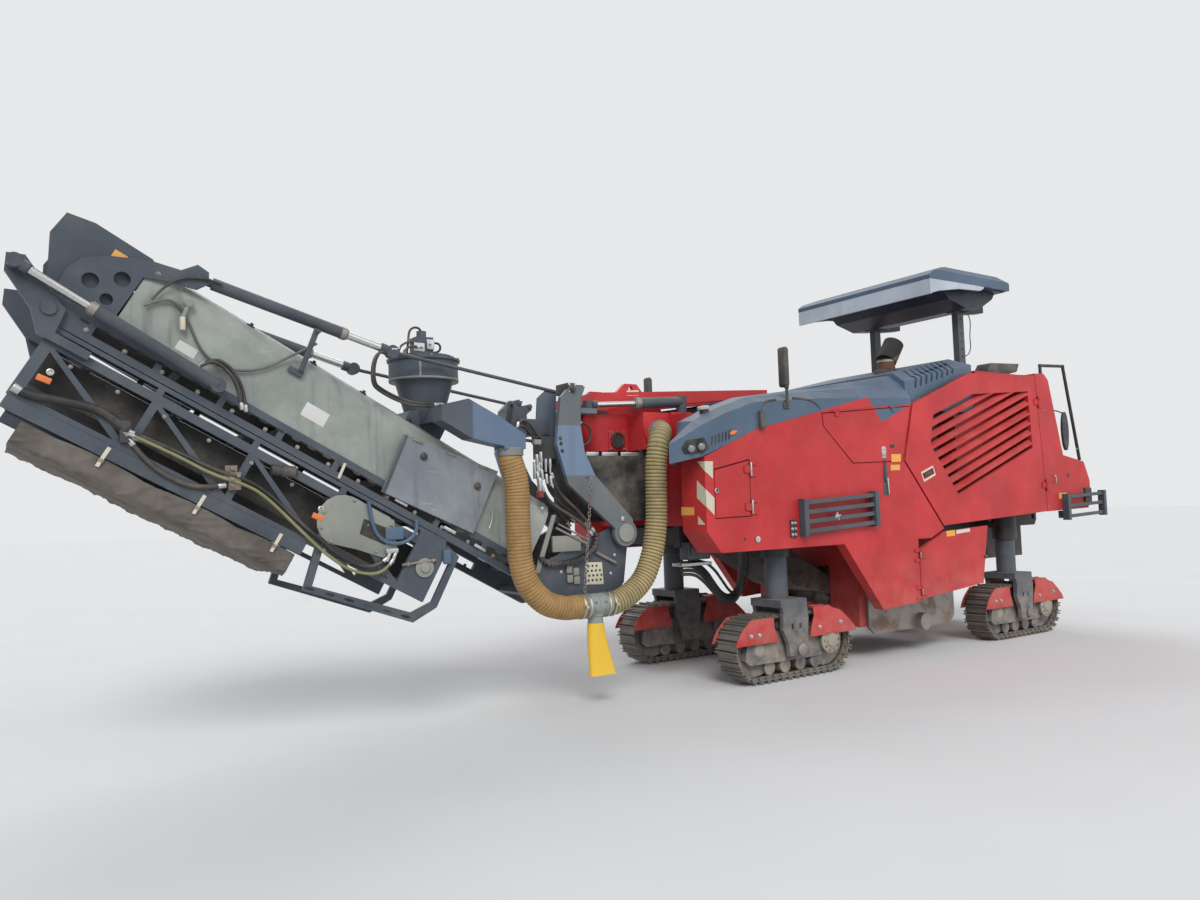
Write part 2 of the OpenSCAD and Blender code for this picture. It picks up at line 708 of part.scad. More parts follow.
module track_belt_rr() {
    track_belt(wheelbase, leg_y);
}

// Frame inside the loop, fork, shields
wheel_x = track_length / 2 - track_height / 2;
wheel_z = track_height / 2;
fork_in = shoe_width / 2 + 8;
fork_out = fork_in + 40;
module track_unit(x, y) {
    translate([x, y, 0]) {
        color(pale) {
            // Wheels, frame between them, rollers under and over it
            for (s = [-1, 1]) cross_pin(s * wheel_x, wheel_z, -48, 48, 2 * (roll_r - seat));
            cross_pin(wheel_x, wheel_z, -118, 118, 210);
            cross_pin(-wheel_x, wheel_z, -96, 96, 120);
            prism(-88, 88, [[-wheel_x, 240], [-330, 150], [330, 150], [wheel_x, 240], [wheel_x, 320], [330, 400], [-330, 400], [-wheel_x, 320]]);
            for (rx = [-270, -90, 90, 270]) cross_pin(rx, wheel_z - roll_r + seat + 60, -75, 75, 120);
            for (rx = [-130, 130]) {
                cross_pin(rx, wheel_z + roll_r - seat - 45, -70, 70, 90);
                block([rx - 22, -60, 395], [rx + 22, 60, 440]);
            }
            // Plate over the frame's front half
            prism(-112, 112, [[-570, 200], [-520, 160], [-200, 160], [-200, 330], [-540, 330]]);
        }
        color(slate) {
            for (s = [-1, 1]) prism(s > 0 ? fork_in : -fork_out, s > 0 ? fork_out : -fork_in,
                [[-215, 662], [-190, 550], [-200, 420], [-140, 300], [-130, 200], [0, 190], [70, 200], [80, 350], [100, 500], [84, 662]]);
            block([-215, -fork_out, 600], [84, fork_out, 662]);
        }
        color(steel) cross_pin(0, 245, -fork_out - 12, fork_out + 12, 90);
        color(steel) translate([leg_offset, 0, 659]) cylinder(d = column_d, h = sleeve_top - 30 - 659 - 40);
        // Shields over the ends of the loop, on arms from the frame
        color(red) for (s = [-1, 1]) {
            prism(s > 0 ? fork_in - 1 : -fork_in - 7, s > 0 ? fork_in + 7 : -fork_in + 1,
                [[-690, 330], [-625, 440], [-520, 525], [-280, 525], [-270, 450], [-225, 330]]);
            prism(s > 0 ? fork_in - 1 : -fork_in - 7, s > 0 ? fork_in + 7 : -fork_in + 1,
                [[150, 330], [170, 420], [205, 500], [195, 572], [380, 572], [440, 540], [520, 522], [610, 450], [690, 380], [720, 330]]);
            for (arm = [[-430, 370], [420, 370]])
                cross_pin(arm[0], arm[1], s > 0 ? 80 : -fork_in, s > 0 ? fork_in : -80, 50);
        }
    }
}
module track_unit_fl() {
    track_unit(0, -leg_y);
}
module track_unit_fr() {
    track_unit(0, leg_y);
}
module track_unit_rl() {
    track_unit(wheelbase, -leg_y);
}
module track_unit_rr() {
    track_unit(wheelbase, leg_y);
}

// Mast: bent arms, fork round the console and slewing pin
arm_y = 470;
arm_t = 40;
fork_low = 1888;
fork_t = 36;
module mast() {
    color(slate) {
        both_sides() difference() {
            union() {
                prism(arm_y, arm_y + arm_t, [[-2095, 1950], [-2080, 2110], [-2050, 2310], [-1960, 2400], [-1830, 2400], [-1870, 2300],
                    [-1880, 2100], [-1850, 1900], [-1760, 1720], [-1420, 1375], [-1410, 1230], [-1565, 1225], [-1580, 1300], [-2000, 1650]]);
                cross_pin(luff_x, luff_z, arm_y, arm_y + arm_t, 210);
            }
            cross_pin(luff_x, luff_z, arm_y - 1, arm_y + arm_t + 1, luff_pin_d + 0.16);
        }
        cross_pin(-1960, 2110, -arm_y - 1, arm_y + 1, 90);
        block([-1960, -110, 2000], [-1700, 110, 2180]);
        block([-1740, -110, fork_low], [-1620, 110, console_top + 5 + fork_t]);
        for (z = [fork_low, console_top + 5]) translate([0, 0, z]) {
            block([-1700, -110, 0], [mast_pivot_x, 110, fork_t]);
            translate([mast_pivot_x, 0, 0]) cylinder(r = 110, h = fork_t);
        }
        translate([mast_pivot_x, 0, fork_low]) cylinder(d = slew_bore_d, h = console_top + 5 + fork_t - fork_low);
        // Lug under the slewing cylinder's eye
        block([-1890, -arm_y - 1, 2200], [-1700, -arm_y + 120, 2240]);
    }
}

// Valves and hose fittings ahead of the left arm
module valve_block() {
    color(black) block([-2200, -arm_y + seat, 1850], [-2000, -330, 2010]);
    color(black) for (i = [0:3]) translate([-2180 + i * 40, -400, 1700]) cylinder(d = 32, h = 151);
}

// Branch of the suction hose with its hand nozzle, hung on a chain from the mast
coupling = [-1840, -570, 745];
coupling_half = 100;
nozzle_drop = 140;
module suction_branch() {
    color(pale) {
        rod(coupling - [coupling_half, 0, 0], coupling + [coupling_half, 0, 0], hose_d);
        rod(coupling - [0, 0, nozzle_drop], coupling, 120);
        rod(coupling + [0, 0, 80], [coupling.x, coupling.y, 1700], 14);
        block([coupling.x - 10, coupling.y - 7, 1690], [coupling.x + 10, -arm_y - arm_t - seat, 1712]);
    }
    color("gold") translate(coupling) prism(-32, 32,
        [[-65, -nozzle_drop], [65, -nozzle_drop], [85, -nozzle_drop - 120], [165, -520], [-60, -520], [-70, -nozzle_drop - 120]]);
}

// The conveyor's own frame: local x runs back down the belt, local z stands on it
module conveyor_axes() {
    translate([luff_x, 0, luff_z]) rotate([0, conveyor_incline, 0]) children();
}
// Profile points given as distance up the belt and height over it
function uv(points) = [for (p = points) [-p[0], p[1]]];
// The same for the folding section, which lies turned over under the main one
function th(points) = [for (p = points) [p[0] - main_length, fold_v - p[1]]];

luff_pin_d = 100;
belt_v = -548;
fold_pin_d = 80;
frame_t = 40;
rail_v = -560;
rail_low = -710;
frame_end = main_length + 50;
bracket_y = half_conv + 1;
bracket_t = 34;
module conveyor_frame() {
    color(slate) conveyor_axes() {
        both_sides() {
            difference() {
                prism(half_conv - frame_t, half_conv, uv([[-200, -330], [-60, 40], [60, 40], [560, rail_v], [frame_end, rail_v],
                    [frame_end, rail_low], [100, rail_low], [-150, rail_v]]));
                for (u = [640:400:main_length - 400])
                    prism(half_conv - frame_t - 1, half_conv + 1, uv([[u, rail_v - 45], [u + 360, rail_v - 45], [u + 360, rail_low + 45], [u, rail_low + 45]]));
            }
            cross_pin(0, 0, half_conv - 1, arm_y + arm_t + 10, luff_pin_d);
            cross_pin(-main_length, fold_v, half_conv - 1, bracket_y + bracket_t + 12, fold_pin_d);
            // Boss of the fold cylinder
            cross_pin(-fold_base.x, fold_base.y, half_conv - 1, fold_cyl_y - fold_cyl_d / 2 - 2 - seat, 56);
        }
        // Rollers under the belt
        for (u = [500:700:main_length - 400]) {
            cross_pin(-u, belt_v - seat - 25, -half_conv + frame_t + 6, half_conv - frame_t - 6, 50);
            cross_pin(-u, belt_v - seat - 25, -half_conv + frame_t - 8, half_conv - frame_t + 8, 20);
        }
        for (u = [300:1200:frame_end - 197])
            prism(-half_conv + frame_t - 1, half_conv - frame_t + 1, uv([[u, rail_low], [u + 60, rail_low], [u + 60, rail_low + 40], [u, rail_low + 40]]));
    }
}

hood_from = 640;
hood_to = 3740;
hood_top = rail_v + hood_height - 52;
hood_wall = 20;
function hood_half(inset) = [
    [half_conv - 170 - inset * 0.3, hood_top - inset], [half_conv - 80 - inset * 0.7, hood_top - 38 - inset * 0.75],
    [half_conv - 28 - inset * 0.95, hood_top - 95 - inset * 0.4], [half_conv - 10 - inset, hood_top - 170],
    [half_conv - 10 - inset, rail_v + seat - (inset > 0 ? 10 : 0)]
];
function hood_profile(inset) = concat(hood_half(inset), [for (i = [4:-1:0]) let(p = hood_half(inset)[i]) [-p[0], p[1]]]);
module conveyor_hood() {
    color(pale) conveyor_axes() along(-hood_to, -hood_from) difference() {
        polygon(hood_profile(0));
        polygon(hood_profile(hood_wall));
    }
}

// Head cover with the arched plates beside it
head_y = half_conv - 44;
luff_base_pin = 40;
module hood_end() {
    color(slate) conveyor_axes() {
        both_sides() {
            difference() {
                prism(head_y - 12, head_y, uv([[3752, rail_v + 20], [3752, hood_top - 5], [4105, hood_top + 2], [4250, hood_top - 33], [4262, -254], [4120, rail_v + 20]]));
                for (hole = [[3850, -200, 70], [4020, -330, 60]]) cross_pin(-hole.x, hole.y, head_y - 20, head_y + 10, hole.z);
            }
            // Feet on the frame's rails and arched plates
            prism(head_y - 6, half_conv - 4, uv([[3765, rail_v + seat], [3765, rail_v + 36], [4085, rail_v + 36], [4085, rail_v + seat]]));
            difference() {
                prism(half_conv - 9.7, half_conv, uv([[3752, rail_v + 15], [3745, -215], [3600, -150], [3470, -110], [3430, -40],
                    [3465, 25], [3540, 30], [3600, -55], [3768, -105], [3947, -205], [4060, -300], [4090, -400], [4080, rail_v + 15]]));
                cross_pin(-luff_base.x, luff_base.y, half_conv - 12, half_conv + 1, luff_base_pin + 0.2);
                for (hole = [[3830, -290, 90], [3960, -390, 90], [3840, -440, 70], [3690, -150, 36]])
                    cross_pin(-hole[0], hole[1], half_conv - 12, half_conv + 1, hole[2]);
            }
        }
        prism(-head_y + 10, head_y - 10, uv([[3742, hood_top - 25], [3742, hood_top - 8], [4100, hood_top - 2], [4246, hood_top - 38],
            [4258, -210], [4242, -210], [4230, hood_top - 52], [4100, hood_top - 22]]));
    }
}

module conveyor_belt() {
    color(black) conveyor_axes() prism(-belt_width / 2, belt_width / 2, uv([[-100, -480], [-150, -400], [-100, -320],
        [main_length - 60, -440], [main_length, -490], [main_length - 60, belt_v], [0, belt_v]]));
}

// Suction fan over the hood, with its cone and the duct to the hose
fan = [-2972, -100, 2423];
fan_r = 250;
fan_low = 2180;
module fan_unit() {
    color(slate) {
        translate(fan) cylinder(r = fan_r, h = 150);
        translate(fan + [0, 0, 149]) cylinder(r = fan_r + 14, h = 16);
        translate(fan + [0, 0, 164]) cylinder(r = fan_r - 40, h = 28);
        translate([fan.x, fan.y, fan_low]) cylinder(r1 = 140, r2 = fan_r - 40, h = fan.z - fan_low + 1);
        conveyor_axes() prism(fan.y - 115, fan.y + 115, uv([[1590, hood_top + seat], [1890, hood_top + seat], [1890, 12], [1620, 160], [1590, 160]]));
        // Flat duct across the hood and down to the hose
        block([fan.x - 90, -600, 2105], [fan.x + 90, fan.y - 80, 2210]);
        prism(-650, -490, [[-3080, 2095], [-3080, 2200], [-2880, 2250], [-2640, 2130], [-2440, 2010], [-2440, 1905], [-2610, 1905],
            [-2610, 1925], [-2860, 1975]]);
        // Motor and valves on the lid
        block([fan.x - 80, fan.y - 70, fan.z + 190], [fan.x + 50, fan.y + 60, fan.z + 330]);
        translate([fan.x - 15, fan.y - 5, fan.z + 320]) cylinder(d = 70, h = 60);
    }
}

module conveyor_door() {
    color(pale) conveyor_axes() prism(-half_conv - 30, -half_conv - seat, uv([[1150, -586], [1873, -642], [1915, -223], [1182, -105]]));
}

// Luffing cylinders along the hood, with the stays to the mast's top
luff_cyl_y = 401;
luff_base = [3505, -35];
luff_eye = [2245, 246];
stay_end = [1010, 690];
module luff_cylinders() {
    color(steel) conveyor_axes() both_sides() {
        rod([-luff_base.x, luff_cyl_y, luff_base.y], [-luff_eye.x, luff_cyl_y, luff_eye.y], 52);
        rod([-luff_base.x + 90, luff_cyl_y, luff_base.y + 20], [-luff_eye.x - 330, luff_cyl_y, luff_eye.y - 73], 78);
        rod([-luff_eye.x, luff_cyl_y, luff_eye.y], [-stay_end.x, luff_cyl_y, stay_end.y], 26);
        cross_pin(-luff_eye.x, luff_eye.y, luff_cyl_y - 30, luff_cyl_y + 30, 90);
        cross_pin(-luff_base.x, luff_base.y, luff_cyl_y - 32, half_conv - 10, 90);
        cross_pin(-luff_base.x, luff_base.y, luff_cyl_y, half_conv + 10, luff_base_pin);
    }
}

// Folding cylinders outside the frame
fold_cyl_y = half_conv + 85;
fold_boss_y = bracket_y + bracket_t + 5;
fold_base = [3095, -575];
fold_cyl_d = 76;
module fold_cylinders() {
    color(steel) conveyor_axes() both_sides() {
        rod([-fold_base.x, fold_cyl_y, fold_base.y], [-(main_length + fold_eye_u), fold_cyl_y, fold_v + fold_eye_v], 44);
        rod([-fold_base.x, fold_cyl_y, fold_base.y], [-fold_base.x - 780, fold_cyl_y, fold_base.y + 29], fold_cyl_d);
        cross_pin(-fold_base.x, fold_base.y, fold_cyl_y - fold_cyl_d / 2 - 2, fold_cyl_y + 30, 90);
        cross_pin(-(main_length + fold_eye_u), fold_v + fold_eye_v, fold_boss_y + seat, fold_cyl_y + 30, 80);
    }
}

// Folding section: rails, struts, pivot brackets and the bow round its head
tip_rail_h = 64;
tip_belt_h = 190;
tip_edge_h = 480;
tip_t = 34;
tip_bay = 620;
bow_foot = tip_length - 890;
module tip_frame() {
    color(slate) conveyor_axes() both_sides() {
        // Pivot bracket with the eye of the folding cylinder
        difference() {
            prism(bracket_y, bracket_y + bracket_t, th([[-fold_eye_u - 60, -fold_eye_v - 30], [-fold_eye_u + 20, -fold_eye_v - 70], [-30, -85],
                [75, -40], [95, 105], [300, 105], [300, 155], [20, 155], [-70, 50], [-fold_eye_u - 20, -fold_eye_v + 60]]));
            cross_pin(-main_length, fold_v, bracket_y - 1, bracket_y + bracket_t + 1, fold_pin_d + 0.16);
        }
        cross_pin(-(main_length + fold_eye_u), fold_v + fold_eye_v, bracket_y + 10, fold_boss_y, 70);
        prism(half_conv - 12, bracket_y + 8, th([[120, 115], [280, 115], [280, 142], [120, 142]]));
        // Side truss
        difference() {
            prism(half_conv - tip_t, half_conv - 1, th([[62, tip_rail_h], [tip_length - 100, tip_rail_h], [tip_length - 60, 150],
                [tip_length - 60, tip_edge_h + 30], [62, tip_edge_h + 30]]));
            for (t = [80:tip_bay:tip_length - tip_bay]) {
                prism(half_conv - tip_t - 1, half_conv, th([[t + 46, 205], [t + 46, tip_edge_h], [t + 552, tip_edge_h]]));
                prism(half_conv - tip_t - 1, half_conv, th([[t + 60, 180], [t + tip_bay, 180], [t + tip_bay, tip_edge_h - 10]]));
                prism(half_conv - tip_t - 1, half_conv, th([[t + 30, 90], [t + tip_bay - 10, 90], [t + tip_bay - 10, 126], [t + 30, 126]]));
            }
        }
        // Bow round the head
        prism(half_conv - tip_t + 1, half_conv - 2, th([[bow_foot, 495], [bow_foot + 60, 780], [tip_length - 60, 660], [tip_length + 50, 500], [tip_length + 40, 120],
            [tip_length - 75, 90], [tip_length - 75, 180], [tip_length - 5, 200], [tip_length, 480], [tip_length - 100, 605],
            [bow_foot + 100, 730], [bow_foot + 50, 495]]));
    }
    color(slate) conveyor_axes() for (t = [320:550:tip_length - 150]) {
        cross_pin(t - main_length, fold_v - tip_belt_h + seat + 30, -half_conv + tip_t + 6, half_conv - tip_t - 6, 60);
        cross_pin(t - main_length, fold_v - tip_belt_h + seat + 30, -half_conv + tip_t - 8, half_conv - tip_t + 8, 22);
    }
}

fairing_end = bow_foot - 60;
module tip_fairing() {
    color(slate) conveyor_axes() both_sides() prism(half_conv - 14, half_conv - 1, th([[70, 511], [fairing_end, 511], [fairing_end, 590], [70, 590]]));
}

tarp_start = 195;
tarp_end = fairing_end - 20;
module tip_tarp() {
    color(earth) conveyor_axes() difference() {
        prism(-half_conv + 1, half_conv - 1, th([[tarp_start, 591], [tarp_end, 591], [tarp_end, 760], [tarp_start, 760]]));
        prism(-half_conv + 13, half_conv - 13, th([[tarp_start - 1, 590], [tarp_end + 1, 590], [tarp_end + 1, 748], [tarp_start - 1, 748]]));
    }
}

module tip_belt() {
    color(black) conveyor_axes() prism(-belt_width / 2, belt_width / 2, th([[80, 260], [120, 400], [tip_length - 150, 430], [tip_length - 60, 380],
        [tip_length - 60, 230], [tip_length - 150, tip_belt_h], [120, tip_belt_h]]));
}

// Suction hose in two stretches that meet at the branch
hose_upper_path = [[-2525, -570, 1904.7], [-2525, -570, 1840], [-2495, -570, 1740], [-2475, -570, 1600], [-2475, -570, 1350], [-2460, -570, 1100],
    [-2400, -570, 930], [-2270, -570, 800], [-2120, -570, 750], [-2020, -570, 745], [-1940.3, -570, 745]];
hose_lower_path = [[-1739.7, -570, 745], [-1670, -570, 745], [-1520, -565, 800], [-1370, -560, 920], [-1270, -555, 1120],
    [-1225, -555, 1350], [-1215, -555, 1600], [-1210, -560, 1800], [-1180, -560, 1960], [-1120, -520, 2050], [-1090, -480, 2066], [-1090, -445.3, 2066]];
module hose_upper() {
    color("goldenrod") tube(hose_upper_path, hose_d - 6);
}
module hose_lower() {
    color("goldenrod") tube(hose_lower_path, hose_d - 6);
}

place() chassis_frame();
place() front_console();
place() rubber_curtain();
place() front_body();
place() top_hood();
place() vent_cowl();
place() engine_block();
place() rear_body();
place() operator_platform();
place() canopy();
place() canopy_visor();
place() canopy_frame();
place() exhaust_pipe();
place() mirrors();
place() handrails();
place() step_rails();
place() drum_housing();
place() primary_conveyor();
place() side_plates();
place() leg_sleeves();
place() slew_cylinder();
place() louvre_door_left();
place() louvre_door_right();
place() hatch_left();
place() hatch_right();
place() lower_door_left();
place() lower_door_right();
place() tool_door();
place() milling_drum();
place() track_unit_fl();
place() track_unit_fr();
place() track_unit_rl();
place() track_unit_rr();
place() track_belt_fl();
place() track_belt_fr();
place() track_belt_rl();
place() track_belt_rr();
place() mast();
place() valve_block();
place() suction_branch();
place() conveyor_frame();
place() conveyor_hood();
place() hood_end();
place() conveyor_belt();
place() fan_unit();
place() conveyor_door();
place() luff_cylinders();
place() fold_cylinders();
place() tip_frame();
place() tip_fairing();
place() tip_tarp();
place() tip_belt();
place() hose_upper();
place() hose_lower();
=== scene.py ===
"""Finish, trim, hoses and light for a cold planer milling machine."""
import math

import bpy
from mathutils import Matrix, Vector, noise


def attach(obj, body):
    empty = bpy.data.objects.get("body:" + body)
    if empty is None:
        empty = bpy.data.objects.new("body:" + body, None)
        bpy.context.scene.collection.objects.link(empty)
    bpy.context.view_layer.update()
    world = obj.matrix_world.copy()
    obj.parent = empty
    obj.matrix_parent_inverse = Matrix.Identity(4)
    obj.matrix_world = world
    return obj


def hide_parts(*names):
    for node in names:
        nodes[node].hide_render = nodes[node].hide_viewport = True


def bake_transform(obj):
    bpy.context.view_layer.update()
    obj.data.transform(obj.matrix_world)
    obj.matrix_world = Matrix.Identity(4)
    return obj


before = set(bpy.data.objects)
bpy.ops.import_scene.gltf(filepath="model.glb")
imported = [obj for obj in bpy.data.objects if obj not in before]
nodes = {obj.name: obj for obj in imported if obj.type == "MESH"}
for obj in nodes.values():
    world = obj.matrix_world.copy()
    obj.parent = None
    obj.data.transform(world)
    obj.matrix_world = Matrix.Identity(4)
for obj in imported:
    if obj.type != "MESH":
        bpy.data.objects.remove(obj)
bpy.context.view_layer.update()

SIDES = ((-1, "left"), (1, "right"))

# Places: the conveyor's pivot, its slope and the folding joint on it, and the body's side wall
MIDDLE_X = 0.406643
LUFF_X, LUFF_Z = -1.49, 1.27
INCLINE = math.radians(29.2)
FOLD_U, FOLD_V = 4.047, -0.652
WALL = 0.95
LEFT, UP = (0, -1, 0), (0, 0, 1)


def at(x, y, z):
    """A place on the machine, measured from the front track's pin."""
    return Vector((x + MIDDLE_X, y, z))


def on_conveyor(u, v, y):
    """A place up the conveyor and over it."""
    run, rise = math.cos(INCLINE), math.sin(INCLINE)
    return at(LUFF_X - u * run + v * rise, y, LUFF_Z + u * rise + v * run)


def on_tip(t, h, y):
    """A place on the folding section, which lies turned over."""
    return on_conveyor(FOLD_U - t, FOLD_V - h, y)


# The camera at the photograph's angle: place, yaw, pitch and roll, focal length and frame in pixels
CAMERA_PLACE = Vector((-5.1851, -6.267, 1.4762))
CAMERA_TURNS = (-33.99, 3.61, -1.82)
FOCAL_LENGTH, PICTURE_WIDE, PICTURE_HIGH = 903.46, 1200, 900


def camera_axes():
    """Right, up and ahead of the camera at the photograph's angle."""
    yaw, pitch, roll = (math.radians(turn) for turn in CAMERA_TURNS)
    right = Vector((math.cos(yaw), math.sin(yaw), 0))
    ahead = Vector((-math.sin(yaw), math.cos(yaw), 0))
    up = Vector((0, 0, 1))
    ahead, up = ahead * math.cos(pitch) + up * math.sin(pitch), up * math.cos(pitch) - ahead * math.sin(pitch)
    return right * math.cos(roll) + up * math.sin(roll), up * math.cos(roll) - right * math.sin(roll), ahead


# Paint recipes
class Value:
    """A socket in a recipe. Sums on values add Math nodes."""

    def __init__(self, recipe, socket):
        self.recipe, self.socket = recipe, socket

    def maths(self, operation, first, second):
        return self.recipe.node("ShaderNodeMath", {"operation": operation}, {0: first, 1: second})

    def __add__(self, other):
        return self.maths("ADD", self, other)

    def __radd__(self, other):
        return self.maths("ADD", other, self)

    def __sub__(self, other):
        return self.maths("SUBTRACT", self, other)

    def __rsub__(self, other):
        return self.maths("SUBTRACT", other, self)

    def __mul__(self, other):
        return self.maths("MULTIPLY", self, other)

    def __rmul__(self, other):
        return self.maths("MULTIPLY", other, self)


class Recipe:
    """A material and the nodes that mix it."""

    def __init__(self, name):
        self.material = bpy.data.materials.new(name)
        self.material.use_nodes = True
        self.tree = self.material.node_tree
        self.shader = self.tree.nodes["Principled BSDF"]
        self.place = self.node("ShaderNodeTexCoord", {}, {}, "Object")
        self.spot = self.split(self.place)

    def node(self, kind, settings, inputs, output=0):
        made = self.tree.nodes.new(kind)
        for name, value in settings.items():
            setattr(made, name, value)
        for name, value in inputs.items():
            self.feed(made.inputs[name], value)
        return Value(self, made.outputs[output])

    def feed(self, socket, value):
        if isinstance(value, Value):
            self.tree.links.new(value.socket, socket)
        elif isinstance(value, tuple) and socket.type == "RGBA" and len(value) == 3:
            socket.default_value = (*value, 1)
        else:
            socket.default_value = value

    def split(self, vector):
        parts = self.tree.nodes.new("ShaderNodeSeparateXYZ")
        self.tree.links.new(vector.socket, parts.inputs[0])
        return [Value(self, parts.outputs[i]) for i in range(3)]

    def band(self, value, low, high):
        """0 below low, 1 over high, smooth between them."""
        return self.node("ShaderNodeMapRange", {"interpolation_type": "SMOOTHSTEP"},
                         {0: value, 1: low, 2: high})

    def noise(self, scale, detail=4.0, rough=0.55, stretch=None, distortion=0.0):
        place = self.place
        if stretch:
            place = self.node("ShaderNodeMapping", {}, {0: place, 3: stretch})
        return self.node("ShaderNodeTexNoise", {}, {"Vector": place, "Scale": scale, "Detail": detail,
                                                    "Roughness": rough, "Distortion": distortion})

    def cells(self, scale):
        return self.node("ShaderNodeTexVoronoi", {}, {"Vector": self.place, "Scale": scale}, "Distance")

    def mix(self, share, under, over):
        mixed = self.tree.nodes.new("ShaderNodeMix")
        mixed.data_type = "RGBA"
        for index, value in ((0, share), (6, under), (7, over)):
            self.feed(mixed.inputs[index], value)
        return Value(self, mixed.outputs[2])

    def edges(self, radius, low=0.01, high=0.18):
        """1 where the surface turns sharply, from the difference of the rounded and the flat normal."""
        rounded = self.node("ShaderNodeBevel", {"samples": 6}, {0: radius})
        flat = self.node("ShaderNodeNewGeometry", {}, {}, "Normal")
        along = self.node("ShaderNodeVectorMath", {"operation": "DOT_PRODUCT"}, {0: rounded, 1: flat},
                          "Value")
        return self.band(1.0 - along, low, high)

    def upward(self):
        """How far the surface faces up."""
        return self.split(self.node("ShaderNodeNewGeometry", {}, {}, "Normal"))[2]

    def finish(self, colour, roughness, metallic=0.0, height=None, strength=0.3, distance=0.002,
               rounded=0.0, **fixed):
        self.feed(self.shader.inputs["Base Color"], colour)
        self.feed(self.shader.inputs["Roughness"], roughness)
        self.feed(self.shader.inputs["Metallic"], metallic)
        if height is not None:
            bump = {"Height": height, "Strength": strength, "Distance": distance}
            if rounded:
                bump["Normal"] = self.node("ShaderNodeBevel", {"samples": 4}, {0: rounded})
            self.feed(self.shader.inputs["Normal"], self.node("ShaderNodeBump", {}, bump))
        for name, value in fixed.items():
            self.feed(self.shader.inputs[name.replace("_", " ")], value)
        return self.material


DUST = (0.38, 0.32, 0.25)
OLD_STEEL = (0.16, 0.15, 0.145)
RUST = (0.17, 0.07, 0.03)


def worn_paint(name, colour, chip, fade=0.12, dusty=0.35, low_dirt=(0.1, 1.2), roughness=0.42, edge=0.006,
               streaks=0.5, second=None, second_share=None):
    """Machine paint: faded in clouds, dusty on top and low down, streaked, rubbed through at its edges.
    A second colour lies where second_share, worked out from the place, is 1."""
    paint = Recipe(name)
    x, _, z = paint.spot
    clouds = paint.noise(1.7, 5.0, 0.6)
    fine = paint.noise(38.0, 4.0, 0.6)
    pale = tuple(min(1.0, part * (1 + fade) + fade * 0.05) for part in colour)
    deep = tuple(part * (1 - fade) for part in colour)
    base = paint.mix(paint.band(clouds, 0.35, 0.7), deep, pale)
    if second:
        base = paint.mix(second_share(paint, x, z), base, second)
    runs = paint.noise(9.0, 3.0, 0.6, (1.0, 1.0, 0.07))
    run_share = paint.band(runs, 0.56, 0.72) * streaks * 0.45
    base = paint.mix(run_share, base, tuple(part * 0.55 + 0.03 for part in colour))
    film = paint.band(paint.noise(4.2, 6.0, 0.65), 0.35, 0.85) * dusty * 0.28
    low = (1.0 - paint.band(z, *low_dirt)) * paint.band(paint.noise(7.0, 5.0, 0.7), 0.25, 0.7) * dusty * 1.6
    top = paint.band(paint.upward(), 0.3, 0.95) * paint.band(paint.noise(6.0, 5.0, 0.6), 0.2, 0.75) * dusty
    base = paint.mix(film, base, DUST)
    base = paint.mix(top, base, DUST)
    base = paint.mix(low, base, DUST)
    rubbed = paint.edges(edge) * paint.band(fine, 0.5, 0.62)
    base = paint.mix(rubbed, base, chip)
    specks = paint.band(paint.cells(55.0), 0.09, 0.05) * paint.band(paint.noise(3.0, 2.0), 0.5, 0.62)
    base = paint.mix(specks * 0.8, base, chip)
    rough = roughness + film * 0.5 + low * 0.3 + top * 0.3 + fine * 0.08
    return paint.finish(base, rough, height=fine * 0.35 + clouds * 0.4, strength=0.12, distance=0.003,
                        rounded=0.004, Specular_IOR_Level=0.3)


def steel(name, colour, rust=0.3, roughness=0.38, metallic=0.85, scale=14.0, dirt=0.3):
    """Bare or worn steel with rust in patches and dirt in clouds."""
    metal = Recipe(name)
    patches = metal.band(metal.noise(scale * 0.4, 6.0, 0.7), 0.62 - rust * 0.3, 0.75 - rust * 0.2)
    grain = metal.noise(scale * 6, 3.0, 0.6)
    base = metal.mix(metal.band(grain, 0.3, 0.7), tuple(p * 0.8 for p in colour), colour)
    soil = metal.band(metal.noise(scale * 0.25, 4.0, 0.6), 0.4, 0.75) * dirt
    base = metal.mix(soil, base, DUST)
    base = metal.mix(patches * rust, base, RUST)
    return metal.finish(base, roughness + patches * 0.35 + soil * 0.4 + grain * 0.1,
                        metallic * (1.0 - patches * 0.8), height=grain + patches, strength=0.18,
                        distance=0.002, rounded=0.003)


def rubber(name, colour, dust=0.35, roughness=0.72, scale=20.0):
    """Rubber or moulded plastic with dust in its grain."""
    skin = Recipe(name)
    grain = skin.noise(scale * 8, 2.0, 0.5)
    clouds = skin.noise(scale * 0.2, 5.0, 0.65)
    base = skin.mix(skin.band(clouds, 0.35, 0.75) * dust, colour, DUST)
    base = skin.mix(skin.edges(0.004) * 0.25, base, tuple(p + 0.12 for p in colour))
    return skin.finish(base, roughness + clouds * 0.15, height=grain, strength=0.25, distance=0.0008)


